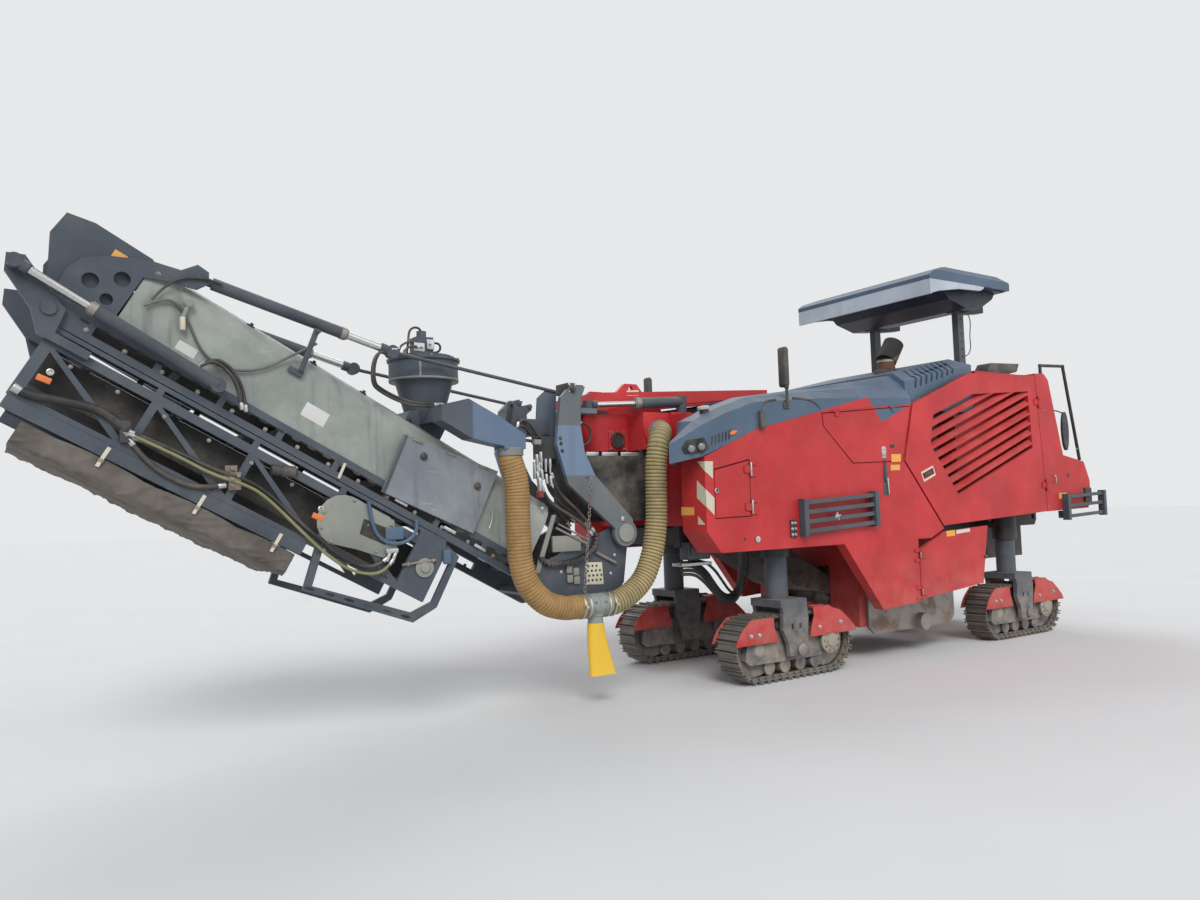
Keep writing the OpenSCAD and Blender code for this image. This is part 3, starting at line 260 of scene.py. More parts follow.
RED = (0.49, 0.024, 0.027)
SLATE = (0.072, 0.115, 0.175)
STEEL_GREY = (0.058, 0.072, 0.092)
red_paint = worn_paint("red_paint", RED, (0.2, 0.03, 0.03), fade=0.14, dusty=0.22)
slate_paint = worn_paint("slate_paint", SLATE, (0.06, 0.07, 0.09), fade=0.12, dusty=0.22)
grey_paint = worn_paint("grey_paint", STEEL_GREY, OLD_STEEL, fade=0.1, dusty=0.5, low_dirt=(0.1, 0.9))
chassis_paint = worn_paint("chassis_paint", (0.02, 0.021, 0.024), OLD_STEEL, dusty=0.6, streaks=0.2)
shell_paint = worn_paint("canopy_shell", (0.062, 0.1, 0.155), (0.2, 0.23, 0.28), dusty=0.2)
plastic = rubber("dark_plastic", (0.022, 0.023, 0.026), 0.3, 0.5)
curtain = rubber("curtain_rubber", (0.018, 0.018, 0.019), 0.4)
belting = rubber("belt_rubber", (0.02, 0.02, 0.021), 0.22)
iron = steel("engine_iron", (0.12, 0.12, 0.12), 0.4, 0.6, 0.5)
chrome = steel("cylinder_chrome", (0.62, 0.62, 0.62), 0.05, 0.16, 1.0, dirt=0.15)
worn = steel("worn_steel", (0.33, 0.31, 0.29), 0.55, 0.45, 0.75, dirt=0.5)
track_iron = steel("track_steel", (0.23, 0.215, 0.195), 0.42, 0.5, 0.6, dirt=0.45)
silver = steel("clamp_steel", (0.55, 0.56, 0.57), 0.1, 0.3, 0.9)
cylinder_paint = worn_paint("cylinder_paint", (0.06, 0.07, 0.085), OLD_STEEL, dusty=0.3, streaks=0.1)
yellow_plastic = rubber("nozzle_plastic", (0.8, 0.5, 0.03), 0.15, 0.45)
coupling_grey = rubber("coupling_plastic", (0.22, 0.26, 0.25), 0.45, 0.5)
line_rubber = rubber("line_rubber", (0.016, 0.016, 0.018), 0.25, 0.45)
line_grey = rubber("cable_sheath", (0.085, 0.09, 0.085), 0.3, 0.5)
line_green = rubber("hose_sleeve", (0.19, 0.2, 0.075), 0.4, 0.55)
seat_cover = rubber("seat_cover", (0.03, 0.031, 0.034), 0.25, 0.6, 40.0)
dark_slate = worn_paint("back_plate_paint", (0.075, 0.1, 0.135), OLD_STEEL, dusty=0.3)
deep_red = rubber("filter_cap", (0.22, 0.02, 0.015), 0.2, 0.4)


def notch_line(paint, x, z):
    """1 on the far side of the colours' steep edge across the fuel hatch."""
    return paint.band(z + (x - (0.88 + MIDDLE_X)) * 1.156, 2.385, 2.392)


def slate_on_hatch(paint, x, z):
    return notch_line(paint, x, z) * paint.band(z - (x - (1.13 + MIDDLE_X)) * 0.417, 2.18, 2.187)


def red_on_hood(paint, x, z):
    under = 1.0 - paint.band(z - (x - (0.3 + MIDDLE_X)) * 0.2328, 2.24, 2.246)
    return under * (1.0 - notch_line(paint, x, z)) * paint.band(x, 0.28 + MIDDLE_X, 0.3 + MIDDLE_X)


def over_canopy_posts(paint, x, z):
    return paint.band(z, 3.404, 3.408)


def exhaust_elbow(paint, x, z):
    return paint.band(z + (x - (1.875 + MIDDLE_X)) * -0.5, 2.87, 2.876)


# The blue band between these heights is partly the arm's two-tone paint and partly painted light and shade.
def on_mast_middle(paint, x, z):
    return paint.band(z, 1.716, 1.722) * (1.0 - paint.band(z, 2.096, 2.102))


def past_fan_cone(paint, x, z):
    return paint.band(x, -2.86 + MIDDLE_X, -2.84 + MIDDLE_X) * (1.0 - paint.band(z, 2.28, 2.3))


hatch_paint = worn_paint("hatch_paint", RED, (0.2, 0.03, 0.03), fade=0.14, dusty=0.22, second=SLATE,
                         second_share=slate_on_hatch)
hood_paint = worn_paint("hood_paint", SLATE, (0.06, 0.07, 0.09), fade=0.12, dusty=0.22, second=RED,
                        second_share=red_on_hood)
canopy_post_paint = worn_paint("canopy_post_paint", (0.06, 0.068, 0.08), OLD_STEEL, dusty=0.3,
                               second=(0.016, 0.022, 0.038), second_share=over_canopy_posts)
burnt = worn_paint("exhaust_metal", (0.16, 0.075, 0.042), (0.1, 0.045, 0.025), fade=0.3, dusty=0.15,
                   roughness=0.7, second=(0.018, 0.017, 0.017), second_share=exhaust_elbow)
# Mast paint: grey with a blue middle band that is partly two-tone paint and partly painted light and shade.
mast_paint = worn_paint("mast_paint", (0.13, 0.145, 0.155), OLD_STEEL, fade=0.12, dusty=0.3,
                        second=(0.15, 0.21, 0.31), second_share=on_mast_middle)
fan_paint = worn_paint("fan_paint", STEEL_GREY, OLD_STEEL, fade=0.14, dusty=0.35,
                       second=(0.105, 0.155, 0.235), second_share=past_fan_cone)


def sheet_metal(name, deep, pale):
    """Pale hood sheet, streaked down its slope and stained by oil and dust."""
    sheet = Recipe(name)
    clouds = sheet.noise(2.3, 6.0, 0.65)
    base = sheet.mix(sheet.band(clouds, 0.3, 0.75), deep, pale)
    streak = sheet.band(sheet.noise(12.0, 4.0, 0.6, (1.0, 0.5, 0.1)), 0.52, 0.72)
    base = sheet.mix(streak * 0.4, base, (0.07, 0.072, 0.07))
    base = sheet.mix(sheet.band(sheet.noise(5.0, 5.0, 0.7), 0.5, 0.85) * 0.5, base, DUST)
    scratch = sheet.band(sheet.noise(26.0, 2.0, 0.5, (0.15, 1.0, 1.0)), 0.68, 0.74)
    base = sheet.mix(scratch * 0.35, base, (0.35, 0.35, 0.33))
    base = sheet.mix(sheet.edges(0.006) * 0.4, base, (0.3, 0.3, 0.29))
    return sheet.finish(base, 0.46 + clouds * 0.25, height=clouds + scratch * 0.2, strength=0.12,
                        distance=0.006, rounded=0.004)


def tarpaulin(name):
    """Coarse brown woven sheet, paler with dust in clouds."""
    cloth = Recipe(name)
    weave = cloth.node("ShaderNodeTexWave", {"bands_direction": "DIAGONAL"},
                       {"Vector": cloth.place, "Scale": 130.0, "Distortion": 1.2})
    clouds = cloth.noise(3.0, 6.0, 0.65)
    base = cloth.mix(cloth.band(clouds, 0.3, 0.75), (0.1, 0.086, 0.074), (0.2, 0.178, 0.152))
    base = cloth.mix(weave * 0.2, base, (0.05, 0.043, 0.038))
    return cloth.finish(base, 0.88, height=weave * 0.4 + clouds, strength=0.35, distance=0.003)


hood_sheet = sheet_metal("hood_sheet", (0.2, 0.225, 0.205), (0.33, 0.35, 0.32))
door_sheet = sheet_metal("door_sheet", (0.15, 0.17, 0.19), (0.24, 0.26, 0.28))
tarp = tarpaulin("tarp_fabric")
hose_skin = rubber("hose_rubber", (0.3, 0.21, 0.09), 0.45, 0.6)
hose_cuff = rubber("hose_cuff", (0.16, 0.19, 0.19), 0.4, 0.55)
dusty_grey = worn_paint("frame_grey", (0.24, 0.25, 0.22), OLD_STEEL, dusty=0.8, streaks=0.3,
                        low_dirt=(0.0, 0.7))
cream_film = rubber("cream_film", (0.62, 0.58, 0.44), 0.35, 0.4, 6.0)
pale_film = rubber("pale_film", (0.6, 0.6, 0.58), 0.3, 0.4, 6.0)
orange_film = rubber("orange_film", (0.78, 0.36, 0.05), 0.3, 0.4, 6.0)
pale_plastic = rubber("cap_plastic", (0.42, 0.42, 0.4), 0.3, 0.45)
amber = rubber("marker_lens", (0.72, 0.17, 0.03), 0.1, 0.2, 4.0)
lamp_lens = rubber("lamp_lens", (0.22, 0.23, 0.25), 0.08, 0.06, 4.0)
mirror_glass = steel("mirror_glass", (0.35, 0.37, 0.4), 0.0, 0.05, 1.0, dirt=0.05)
# Near-black: the real colour of the foot plates and the cowl seals, and painted shade where holes, slots, the
# lamp pocket and the drive window are drawn as flat dark pieces.
black_and_hole_shade = rubber("black_and_hole_shade", (0.012, 0.012, 0.013), 0.2, 0.8)
visor_plastic = worn_paint("visor_plastic", (0.42, 0.47, 0.53), (0.55, 0.58, 0.6), dusty=0.35,
                           low_dirt=(0.0, 0.1), streaks=0.8)

FINISHES = {red_paint: ["front_console", "front_body", "rear_body", "drum_housing", "louvre_door_left",
                        "louvre_door_right", "lower_door_left", "lower_door_right", "tool_door"],
            slate_paint: ["vent_cowl"], hood_paint: ["top_hood"],
            hatch_paint: ["hatch_left", "hatch_right"], canopy_post_paint: ["canopy_frame"],
            mast_paint: ["mast"], fan_paint: ["fan_unit"],
            grey_paint: ["conveyor_frame", "hood_end", "tip_frame", "tip_fairing", "track_unit_fl",
                         "track_unit_fr", "track_unit_rl", "track_unit_rr", "step_rails"],
            chassis_paint: ["chassis_frame", "leg_sleeves", "primary_conveyor", "valve_block", "handrails"],
            shell_paint: ["canopy"], visor_plastic: ["canopy_visor"],
            plastic: ["mirrors", "operator_platform"], curtain: ["rubber_curtain"],
            belting: ["conveyor_belt", "tip_belt"], iron: ["engine_block"], burnt: ["exhaust_pipe"],
            cylinder_paint: ["slew_cylinder", "luff_cylinders", "fold_cylinders"],
            worn: ["side_plates", "milling_drum"],
            track_iron: ["track_belt_fl", "track_belt_fr", "track_belt_rl", "track_belt_rr"],
            hood_sheet: ["conveyor_hood"], door_sheet: ["conveyor_door"], tarp: ["tip_tarp"],
            hose_skin: ["hose_upper", "hose_lower"], silver: ["suction_branch"]}
for finish, names in FINISHES.items():
    for name in names:
        nodes[name].data.materials.clear()
        nodes[name].data.materials.append(finish)


# Making pieces
def deselect():
    bpy.ops.object.select_all(action="DESELECT")


def pick(*objects):
    deselect()
    for obj in objects:
        obj.select_set(True)
    bpy.context.view_layer.objects.active = objects[0]


def bake_place():
    """Bakes the picked piece's place, turn and size into its mesh."""
    bpy.ops.object.transform_apply(location=True, rotation=True, scale=True)


def edit_all():
    """Opens the active piece for editing with all of it selected."""
    bpy.ops.object.mode_set(mode="EDIT")
    bpy.ops.mesh.select_all(action="SELECT")


def applied(obj, kind, **settings):
    """Adds a modifier and applies it."""
    pick(obj)
    modifier = obj.modifiers.new(kind.lower(), kind)
    for name, value in settings.items():
        setattr(modifier, name, value)
    bpy.ops.object.modifier_apply(modifier=modifier.name)
    return obj


def soft_edges(obj, width, segments=2, angle=35):
    return applied(obj, "BEVEL", width=width, segments=segments, limit_method="ANGLE",
                   angle_limit=math.radians(angle))


def joined(objects):
    if len(objects) > 1:
        pick(*objects)
        bpy.ops.object.join()
    return objects[0]


def copies(pattern, matrices):
    """The pattern once at each place, each with its own mesh, joined to one piece."""
    twins = []
    for matrix in matrices:
        twin = pattern.copy()
        twin.data = pattern.data.copy()
        bpy.context.scene.collection.objects.link(twin)
        twin.matrix_world = matrix
        twins.append(twin)
    bpy.data.objects.remove(pattern)
    return joined(twins)


def keep(parts, name, body, finish, smooth=32, replaces=()):
    """Joins the parts, bakes their place into the mesh, turns the faces outwards,
    and gives the piece its name, finish and body."""
    obj = joined(parts) if isinstance(parts, list) else parts
    pick(obj)
    bake_place()
    edit_all()
    bpy.ops.mesh.remove_doubles(threshold=0.00002)
    bpy.ops.mesh.normals_make_consistent(inside=False)
    bpy.ops.object.mode_set(mode="OBJECT")
    bpy.ops.object.shade_smooth_by_angle(angle=math.radians(smooth))
    obj.name = name
    obj.data.name = name
    obj.data.materials.clear()
    obj.data.materials.append(finish)
    if body:
        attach(obj, body)
    if replaces:
        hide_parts(*replaces)
    return obj


def plate(corners, depth, soften=0.002, segments=2):
    """A plate: a disc's corners are pulled to the outline, then it is extruded and its edges softened."""
    deselect()
    bpy.ops.mesh.primitive_circle_add(vertices=len(corners), radius=1, fill_type="NGON", location=(0, 0, 0))
    obj = bpy.context.object
    for vertex, corner in zip(obj.data.vertices, corners):
        vertex.co = corner
    edit_all()
    bpy.ops.mesh.extrude_region_move(TRANSFORM_OT_translate={"value": tuple(depth)})
    bpy.ops.mesh.select_all(action="SELECT")
    bpy.ops.mesh.normals_make_consistent(inside=False)
    bpy.ops.object.mode_set(mode="OBJECT")
    return soft_edges(obj, soften, segments) if soften else obj


def slab(low, high, soften=0.004, segments=2):
    """A block between two corners, its edges softened."""
    deselect()
    low, high = Vector(low), Vector(high)
    bpy.ops.mesh.primitive_cube_add(size=1, location=(low + high) / 2)
    obj = bpy.context.object
    obj.scale = high - low
    bake_place()
    return soft_edges(obj, soften, segments)


def side_points(points, y):
    """Places on the machine that share one y, from their x and z."""
    return [at(x, y, z) for x, z in points]


def panel(outline, y, depth, soften=0.002, segments=2):
    """A plate that stands along the machine, from its outline seen from the side."""
    return plate(side_points(outline, y), (0, depth, 0), soften, segments)


def block(low, high, soften=0.004, segments=2):
    """A slab between two places on the machine."""
    return slab(at(*low), at(*high), soften, segments)


def rod(start, end, radius, sides=20, soften=0.0):
    """A round bar between two places on the machine."""
    return bar(at(*start), at(*end), radius, sides, soften)


def bar(start, end, radius, sides=20, soften=0.0):
    """A round bar from point to point."""
    deselect()
    start, end = Vector(start), Vector(end)
    turn = (end - start).to_track_quat("Z", "Y")
    bpy.ops.mesh.primitive_cylinder_add(vertices=sides, radius=radius, depth=(end - start).length,
                                        location=(start + end) / 2, rotation=turn.to_euler())
    obj = bpy.context.object
    bake_place()
    return soft_edges(obj, soften, 2, 50) if soften else obj


def pipe(points, radius, sides=10, order=4, fine=6):
    """A bent pipe or hose: a path's points are set, it is given its round section and made a mesh."""
    deselect()
    bpy.ops.curve.primitive_nurbs_path_add(location=(0, 0, 0))
    obj = bpy.context.object
    spline = obj.data.splines[0]
    points = list(points)
    while len(points) < len(spline.points):
        points.insert(-1, (points[-2] + points[-1]) / 2)
    spline.points.add(len(points) - len(spline.points))
    for point, place in zip(spline.points, points):
        point.co = (*place, 1)
    spline.order_u = min(order, len(points))
    spline.use_endpoint_u = True
    spline.resolution_u = fine
    obj.data.bevel_depth = radius
    obj.data.bevel_resolution = max(0, sides // 4 - 1)
    obj.data.use_fill_caps = True
    bpy.ops.object.convert(target="MESH")
    return bpy.context.object


def turned(profile, place, axis, sides=32):
    """A turned part: a profile of (radius, height) is spun round its axis."""
    deselect()
    bpy.ops.mesh.primitive_circle_add(vertices=sides, radius=profile[0][0],
                                      fill_type="NGON" if profile[0][0] > 0 else "NOTHING",
                                      location=(0, 0, profile[0][1]))
    obj = bpy.context.object
    bake_place()
    edit_all()
    for (radius, height), (next_radius, next_height) in zip(profile, profile[1:]):
        bpy.ops.mesh.extrude_region_move(TRANSFORM_OT_translate={"value": (0, 0, next_height - height)})
        share = next_radius / radius
        bpy.ops.transform.resize(value=(share, share, 1), center_override=(0, 0, next_height))
    bpy.ops.object.mode_set(mode="OBJECT")
    turn = Vector(axis).to_track_quat("Z", "Y").to_matrix().to_4x4()
    obj.matrix_world = Matrix.Translation(place) @ turn
    return obj


def facing(place, outward, along=(1, 0, 0)):
    """A place whose z points outward and whose x lies along."""
    out = Vector(outward).normalized()
    cross = out.cross(Vector(along)).normalized()
    return Matrix.Translation(place) @ Matrix((cross.cross(out), cross, out)).transposed().to_4x4()


def turns(count):
    """The angles of evenly spaced points round a circle."""
    return [2 * i * math.pi / count for i in range(count)]


def bolt_head(radius=0.011):
    """A hexagon head on its washer, modelled once for each row of bolts."""
    deselect()
    bpy.ops.mesh.primitive_cylinder_add(vertices=12, radius=radius * 1.45, depth=radius * 0.25,
                                        location=(0, 0, radius * 0.12))
    washer = bpy.context.object
    bpy.ops.mesh.primitive_cylinder_add(vertices=6, radius=radius, depth=radius * 0.8,
                                        location=(0, 0, radius * 0.6))
    head = bpy.context.object
    bpy.ops.object.mode_set(mode="EDIT")
    bpy.ops.mesh.select_all(action="DESELECT")
    bpy.ops.object.mode_set(mode="OBJECT")
    for face in head.data.polygons:
        face.select = face.normal.z > 0.9
    bpy.ops.object.mode_set(mode="EDIT")
    bpy.ops.mesh.inset(thickness=radius * 0.14, depth=radius * 0.1)
    bpy.ops.object.mode_set(mode="OBJECT")
    obj = joined([head, washer])
    bake_place()
    return obj


def bolts(name, body, places, outward, finish=None, radius=0.011):
    matrices = [facing(place, outward,
                       (0.3, 0.2, 1) if abs(Vector(outward).normalized().z) < 0.9 else (1, 0, 0))
                for place in places]
    return keep(copies(bolt_head(radius), matrices), name, body, finish or worn)


# Suction hose
def path_lengths(path):
    """How far along the path each of its points lies."""
    lengths = [0.0]
    for p, q in zip(path, path[1:]):
        lengths.append(lengths[-1] + (q - p).length)
    return lengths


def evenly(path, count):
    """Points at even steps along a path, from end to end."""
    lengths = path_lengths(path)
    places, k = [], 0
    for i in range(count + 1):
        goal = lengths[-1] * i / count
        while k < len(lengths) - 2 and lengths[k + 1] < goal:
            k += 1
        span = max(1e-9, lengths[k + 1] - lengths[k])
        places.append(path[k].lerp(path[k + 1], (goal - lengths[k]) / span))
    return places


def resampled(points, step):
    """Evenly spaced points on the smooth curve through the given points."""
    path = [points[0] * 2 - points[1]] + list(points) + [points[-1] * 2 - points[-2]]
    fine = []
    for a, b, c, d in zip(path, path[1:], path[2:], path[3:]):
        for i in range(24):
            t = i / 24
            bend, twist = 2 * a - 5 * b + 4 * c - d, 3 * b - a - 3 * c + d
            fine.append(0.5 * ((2 * b) + (c - a) * t + bend * t * t + twist * t ** 3))
    fine.append(points[-1])
    return evenly(fine, max(2, round(path_lengths(fine)[-1] / step)))


def ribbed_hose(points, radius, pitch, rib, sides=36):
    """A spiral hose: a grid is wrapped round the path, four rows to a rib."""
    places = resampled(points, pitch / 4)
    deselect()
    bpy.ops.mesh.primitive_grid_add(x_subdivisions=sides, y_subdivisions=len(places) - 1, size=2)
    obj = bpy.context.object
    side = Vector((0, 1, 0))
    rows = []
    for i, place in enumerate(places):
        ahead = (places[min(i + 1, len(places) - 1)] - places[max(i - 1, 0)]).normalized()
        across = (side - ahead * side.dot(ahead)).normalized()
        rows.append((place, across, ahead.cross(across)))
        side = across
    lift = (0.0, 0.75, 1.0, 0.75)
    per_row = sides + 1
    for index, vertex in enumerate(obj.data.vertices):
        row, column = divmod(index, per_row)
        place, across, over = rows[row]
        turn = 2 * math.pi * column / sides
        r = radius - rib + rib * lift[row % 4]
        vertex.co = place + r * (math.cos(turn) * across + math.sin(turn) * over)
    return obj


def hose_paint(name, clean, soiled):
    """Ochre hose wall, dirtier in clouds, with painted shade darkening the hollows between the ribs."""
    skin = Recipe(name)
    clouds = skin.noise(3.5, 5.0, 0.65)
    grime = skin.band(skin.noise(9.0, 5.0, 0.7), 0.42, 0.72)
    base = skin.mix(skin.band(clouds, 0.3, 0.7), clean, soiled)
    base = skin.mix(grime * 0.35, base, (0.1, 0.07, 0.035))
    # Painted shade: the hollows between the ribs, found from the pointiness, are darkened to deep brown.
    pointed = skin.node("ShaderNodeNewGeometry", {}, {}, "Pointiness")
    base = skin.mix((1.0 - skin.band(pointed, 0.46, 0.52)) * 0.75, base, (0.07, 0.045, 0.02))
    return skin.finish(base, 0.62 + grime * 0.2, height=skin.noise(60.0, 2.0), strength=0.1, distance=0.001)


HOSE_UPPER = [(-2.525, -0.57, 1.9047), (-2.525, -0.57, 1.84), (-2.495, -0.57, 1.74), (-2.475, -0.57, 1.6),
              (-2.475, -0.57, 1.35), (-2.46, -0.57, 1.1), (-2.4, -0.57, 0.93), (-2.27, -0.57, 0.8),
              (-2.12, -0.57, 0.75), (-2.02, -0.57, 0.745), (-1.9403, -0.57, 0.745)]
HOSE_LOWER = [(-1.7397, -0.57, 0.745), (-1.67, -0.57, 0.745), (-1.52, -0.565, 0.8), (-1.37, -0.56, 0.92),
              (-1.27, -0.555, 1.12), (-1.225, -0.555, 1.35), (-1.215, -0.555, 1.6), (-1.21, -0.56, 1.8),
              (-1.18, -0.56, 1.96), (-1.12, -0.52, 2.05), (-1.09, -0.48, 2.066), (-1.09, -0.4453, 2.066)]
HOSE_R = 0.089
COUPLING = (-1.84, -0.57, 0.745)


def ring_round(place, axis, radius, width, thick=0.004):
    """A band clamp round a pipe."""
    return turned([(radius, -width / 2), (radius + thick, -width / 2), (radius + thick, width / 2),
                   (radius, width / 2)], place, axis, 40)


def suction_hoses():
    ochre = hose_paint("hose_ochre", (0.4, 0.235, 0.075), (0.29, 0.17, 0.065))
    dusty_ochre = hose_paint("hose_dusty_ochre", (0.42, 0.33, 0.15), (0.31, 0.25, 0.125))
    upper = keep(ribbed_hose([at(*p) for p in HOSE_UPPER], HOSE_R, 0.024, 0.0045), "suction_hose_upper",
                 None, ochre, 60, ("hose_upper",))
    at(-2.525, -0.57, 1.88)
    at(-2.0, -0.57, 0.76)
    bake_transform(upper)
    lower = keep(ribbed_hose([at(*p) for p in HOSE_LOWER], HOSE_R, 0.028, 0.009), "suction_hose_lower",
                 None, dusty_ochre, 60, ("hose_lower",))
    at(-1.7, -0.57, 0.76)
    at(-1.1, -0.5, 2.05)
    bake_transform(lower)
    x, y, z = COUPLING
    bands = [ring_round(at(x + dx, y, z), (1, 0, 0), HOSE_R + 0.002, 0.016)
             for dx in (-0.085, -0.135, 0.085, 0.135)]
    screws = [block((x + dx - 0.012, y - 0.115, z - 0.01), (x + dx + 0.012, y - 0.088, z + 0.014), 0.002)
              for dx in (-0.135, 0.135)]
    keep(bands + screws, "hose_clamps", "slewing_mast", silver)
    collar = turned([(HOSE_R - 0.012, 0.0), (HOSE_R + 0.006, 0.0), (HOSE_R + 0.006, 0.05),
                     (HOSE_R + 0.001, 0.056), (HOSE_R - 0.012, 0.056)], at(-2.525, -0.57, 1.862), UP, 40)
    keep(collar, "duct_collar", "main_conveyor", hose_cuff)
    cuff = turned([(HOSE_R - 0.01, 0.0), (HOSE_R + 0.012, 0.0), (HOSE_R + 0.012, 0.05),
                   (HOSE_R + 0.004, 0.06), (HOSE_R - 0.01, 0.06)], at(-1.09, -0.442, 2.066), LEFT, 40)
    keep(cuff, "flange_cuff", "machine", hose_cuff)


# Crawler tracks
TRACKS = {"fl": (0.0, -0.695), "fr": (0.0, 0.695), "rl": (3.35, -0.695), "rr": (3.35, 0.695)}
TRACK_LONG, TRACK_HIGH, SHOE_WIDE, SHOE_RIB, SHOES = 1.37, 0.55, 0.26, 0.022, 40
FLOOR_GAP = 0.0005


def track_shoe():
    """One shoe: plate with its two ribs, softened, and the link halves inside it.
    It lies on z = 0, ribs up."""
    pitch = (2 * (TRACK_LONG - TRACK_HIGH) + math.pi * (TRACK_HIGH - 2 * SHOE_RIB)) / SHOES
    half, wide = pitch / 2, SHOE_WIDE / 2
    pad = plate([Vector((-half + 0.002, -wide + 0.012, -0.012)),
                 Vector((half - 0.002, -wide + 0.012, -0.012)),
                 Vector((half - 0.002, wide - 0.012, -0.012)),
                 Vector((-half + 0.002, wide - 0.012, -0.012))], (0, 0, 0.012), 0.003, 1)
    ribs = []
    for x, high in ((-half + 0.011, SHOE_RIB), (half - 0.012, SHOE_RIB * 0.7)):
        ribs.append(plate([Vector((x - 0.007, -wide, -0.004)), Vector((x + 0.007, -wide, -0.004)),
                           Vector((x + 0.004, -wide + 0.004, high)),
                           Vector((x - 0.004, -wide + 0.004, high))], (0, SHOE_WIDE, 0), 0))
    links = []
    for y in (-0.075, 0.075):
        links.append(plate([Vector((-half - 0.008, y - 0.013, -0.012)),
                            Vector((-half - 0.008, y - 0.013, -0.026)),
                            Vector((-half + 0.01, y - 0.013, -0.03)),
                            Vector((half - 0.01, y - 0.013, -0.03)),
                            Vector((half + 0.008, y - 0.013, -0.026)),
                            Vector((half + 0.008, y - 0.013, -0.012))], (0, 0.026, 0), 0))
    pin = bar((half, -0.105, -0.02), (half, 0.105, -0.02), 0.008, 8)
    return joined([pad] + ribs + links + [pin])


def shoe_places(x, y):
    straight = TRACK_LONG - TRACK_HIGH
    r = TRACK_HIGH / 2 - SHOE_RIB
    arc = math.pi * r
    loop = 2 * (straight + arc)
    mid = TRACK_HIGH / 2
    places = []
    for i in range(SHOES):
        s = (i + 0.5) * loop / SHOES
        if s < straight:
            spot, turn = (-straight / 2 + s, mid - r), 0.0
        elif s < straight + arc:
            a = (s - straight) / r
            spot, turn = (straight / 2 + r * math.sin(a), mid - r * math.cos(a)), a
        elif s < 2 * straight + arc:
            spot, turn = (straight / 2 - (s - straight - arc), mid + r), math.pi
        else:
            a = (s - 2 * straight - arc) / r
            spot, turn = (-straight / 2 - r * math.sin(a), mid + r * math.cos(a)), math.pi + a
        ahead = Vector((math.cos(turn), 0, math.sin(turn)))
        out = Vector((math.sin(turn), 0, -math.cos(turn)))
        cross = out.cross(ahead)
        places.append(Matrix.Translation(at(x + spot[0], y, spot[1])) @
                      Matrix((ahead, cross, out)).transposed().to_4x4())
    return places


SHIELD_FRONT = [(-0.694, 0.328), (-0.672, 0.375), (-0.64, 0.425), (-0.59, 0.475), (-0.522, 0.529),
                (-0.275, 0.529), (-0.265, 0.45), (-0.221, 0.328)]
SHIELD_REAR = [(0.146, 0.328), (0.166, 0.42), (0.201, 0.5), (0.191, 0.576), (0.382, 0.576), (0.442, 0.545),
               (0.522, 0.526), (0.612, 0.455), (0.694, 0.383), (0.724, 0.328)]


def tracks():
    for key, (x, y) in TRACKS.items():
        side = -1 if y < 0 else 1
        body = "track_" + key
        chain = copies(track_shoe(), shoe_places(x, y))
        bake_place()
        for vertex in chain.data.vertices:
            vertex.co.z = max(vertex.co.z, FLOOR_GAP)
        keep(chain, "track_chain_" + key, body, track_iron, 40, ("track_belt_" + key,))
        shields = []
        for s in (-1, 1):
            for outline in (SHIELD_FRONT, SHIELD_REAR):
                shields.append(plate([at(x + px, y + s * 0.1365, pz) for px, pz in outline],
                                     (0, s * 0.0125, 0), 0.003))
        # Folded edge along the top of the outer shields
        for s in (-1, 1):
            shields.append(plate([at(x + 0.192, y + s * 0.149, 0.576), at(x + 0.382, y + s * 0.149, 0.576),
                                  at(x + 0.442, y + s * 0.149, 0.546), at(x + 0.442, y + s * 0.07, 0.556),
                                  at(x + 0.382, y + s * 0.07, 0.586), at(x + 0.192, y + s * 0.07, 0.586)],
                                 (0, 0, -0.006), 0.002))
        keep(shields, "track_shields_" + key, body, red_paint)
        spots = [(-0.53, 0.4), (-0.44, 0.4), (0.26, 0.4), (0.52, 0.42)]
        bolts("shield_bolts_" + key, body, [at(x + px, y + side * 0.149, pz) for px, pz in spots],
              (0, side, 0), silver, 0.013)
        hub = turned([(0.105, 0.0), (0.112, 0.0), (0.112, 0.014), (0.098, 0.022), (0.06, 0.024),
                      (0.056, 0.034), (0.03, 0.038)], at(x + 0.41, y + side * 0.117, 0.275), (0, side, 0),
                     40)
        idler = turned([(0.055, 0.0), (0.066, 0.0), (0.066, 0.01), (0.05, 0.018), (0.024, 0.02)],
                       at(x - 0.41, y + side * 0.095, 0.275), (0, side, 0), 32)
        keep([hub, idler], "hub_covers_" + key, body, dusty_grey)
        ring = [at(x + 0.41 + 0.085 * math.cos(a), y + side * 0.138, 0.275 + 0.085 * math.sin(a))
                for a in turns(10)]
        bolts("hub_bolts_" + key, body, ring, (0, side, 0), worn, 0.009)
        cap = turned([(0.03, 0.0), (0.052, 0.0), (0.052, 0.012), (0.04, 0.02), (0.014, 0.021)],
                     at(x, y + side * 0.188, 0.245), (0, side, 0), 32)
        keep(cap, "fork_pin_cap_" + key, body, worn)
        # Painted shade: the fork's slots are thin near-black blocks on its side.
        slots = [block((x + px - 0.0125, y + side * 0.1775, 0.418),
                       (x + px + 0.0125, y + side * 0.1795, 0.463), 0.0008, 1) for px in (-0.09, 0.0)]
        keep(slots, "fork_slots_" + key, body, black_and_hole_shade)


# Body trim
def sight(across, down):
    """The line of sight through a point of the 1200 x 900 frame."""
    right, up, ahead = camera_axes()
    return (ahead * FOCAL_LENGTH +
            right * (across - PICTURE_WIDE / 2) - up * (down - PICTURE_HIGH / 2)).normalized()


def seen_on_wall(across, down, wall_y=-WALL):
    line = sight(across, down)
    return CAMERA_PLACE + line * ((wall_y - CAMERA_PLACE.y) / line.y)


def seen_on_front(across, down, front_x=-1.04):
    line = sight(across, down)
    return CAMERA_PLACE + line * ((front_x + MIDDLE_X - CAMERA_PLACE.x) / line.x)


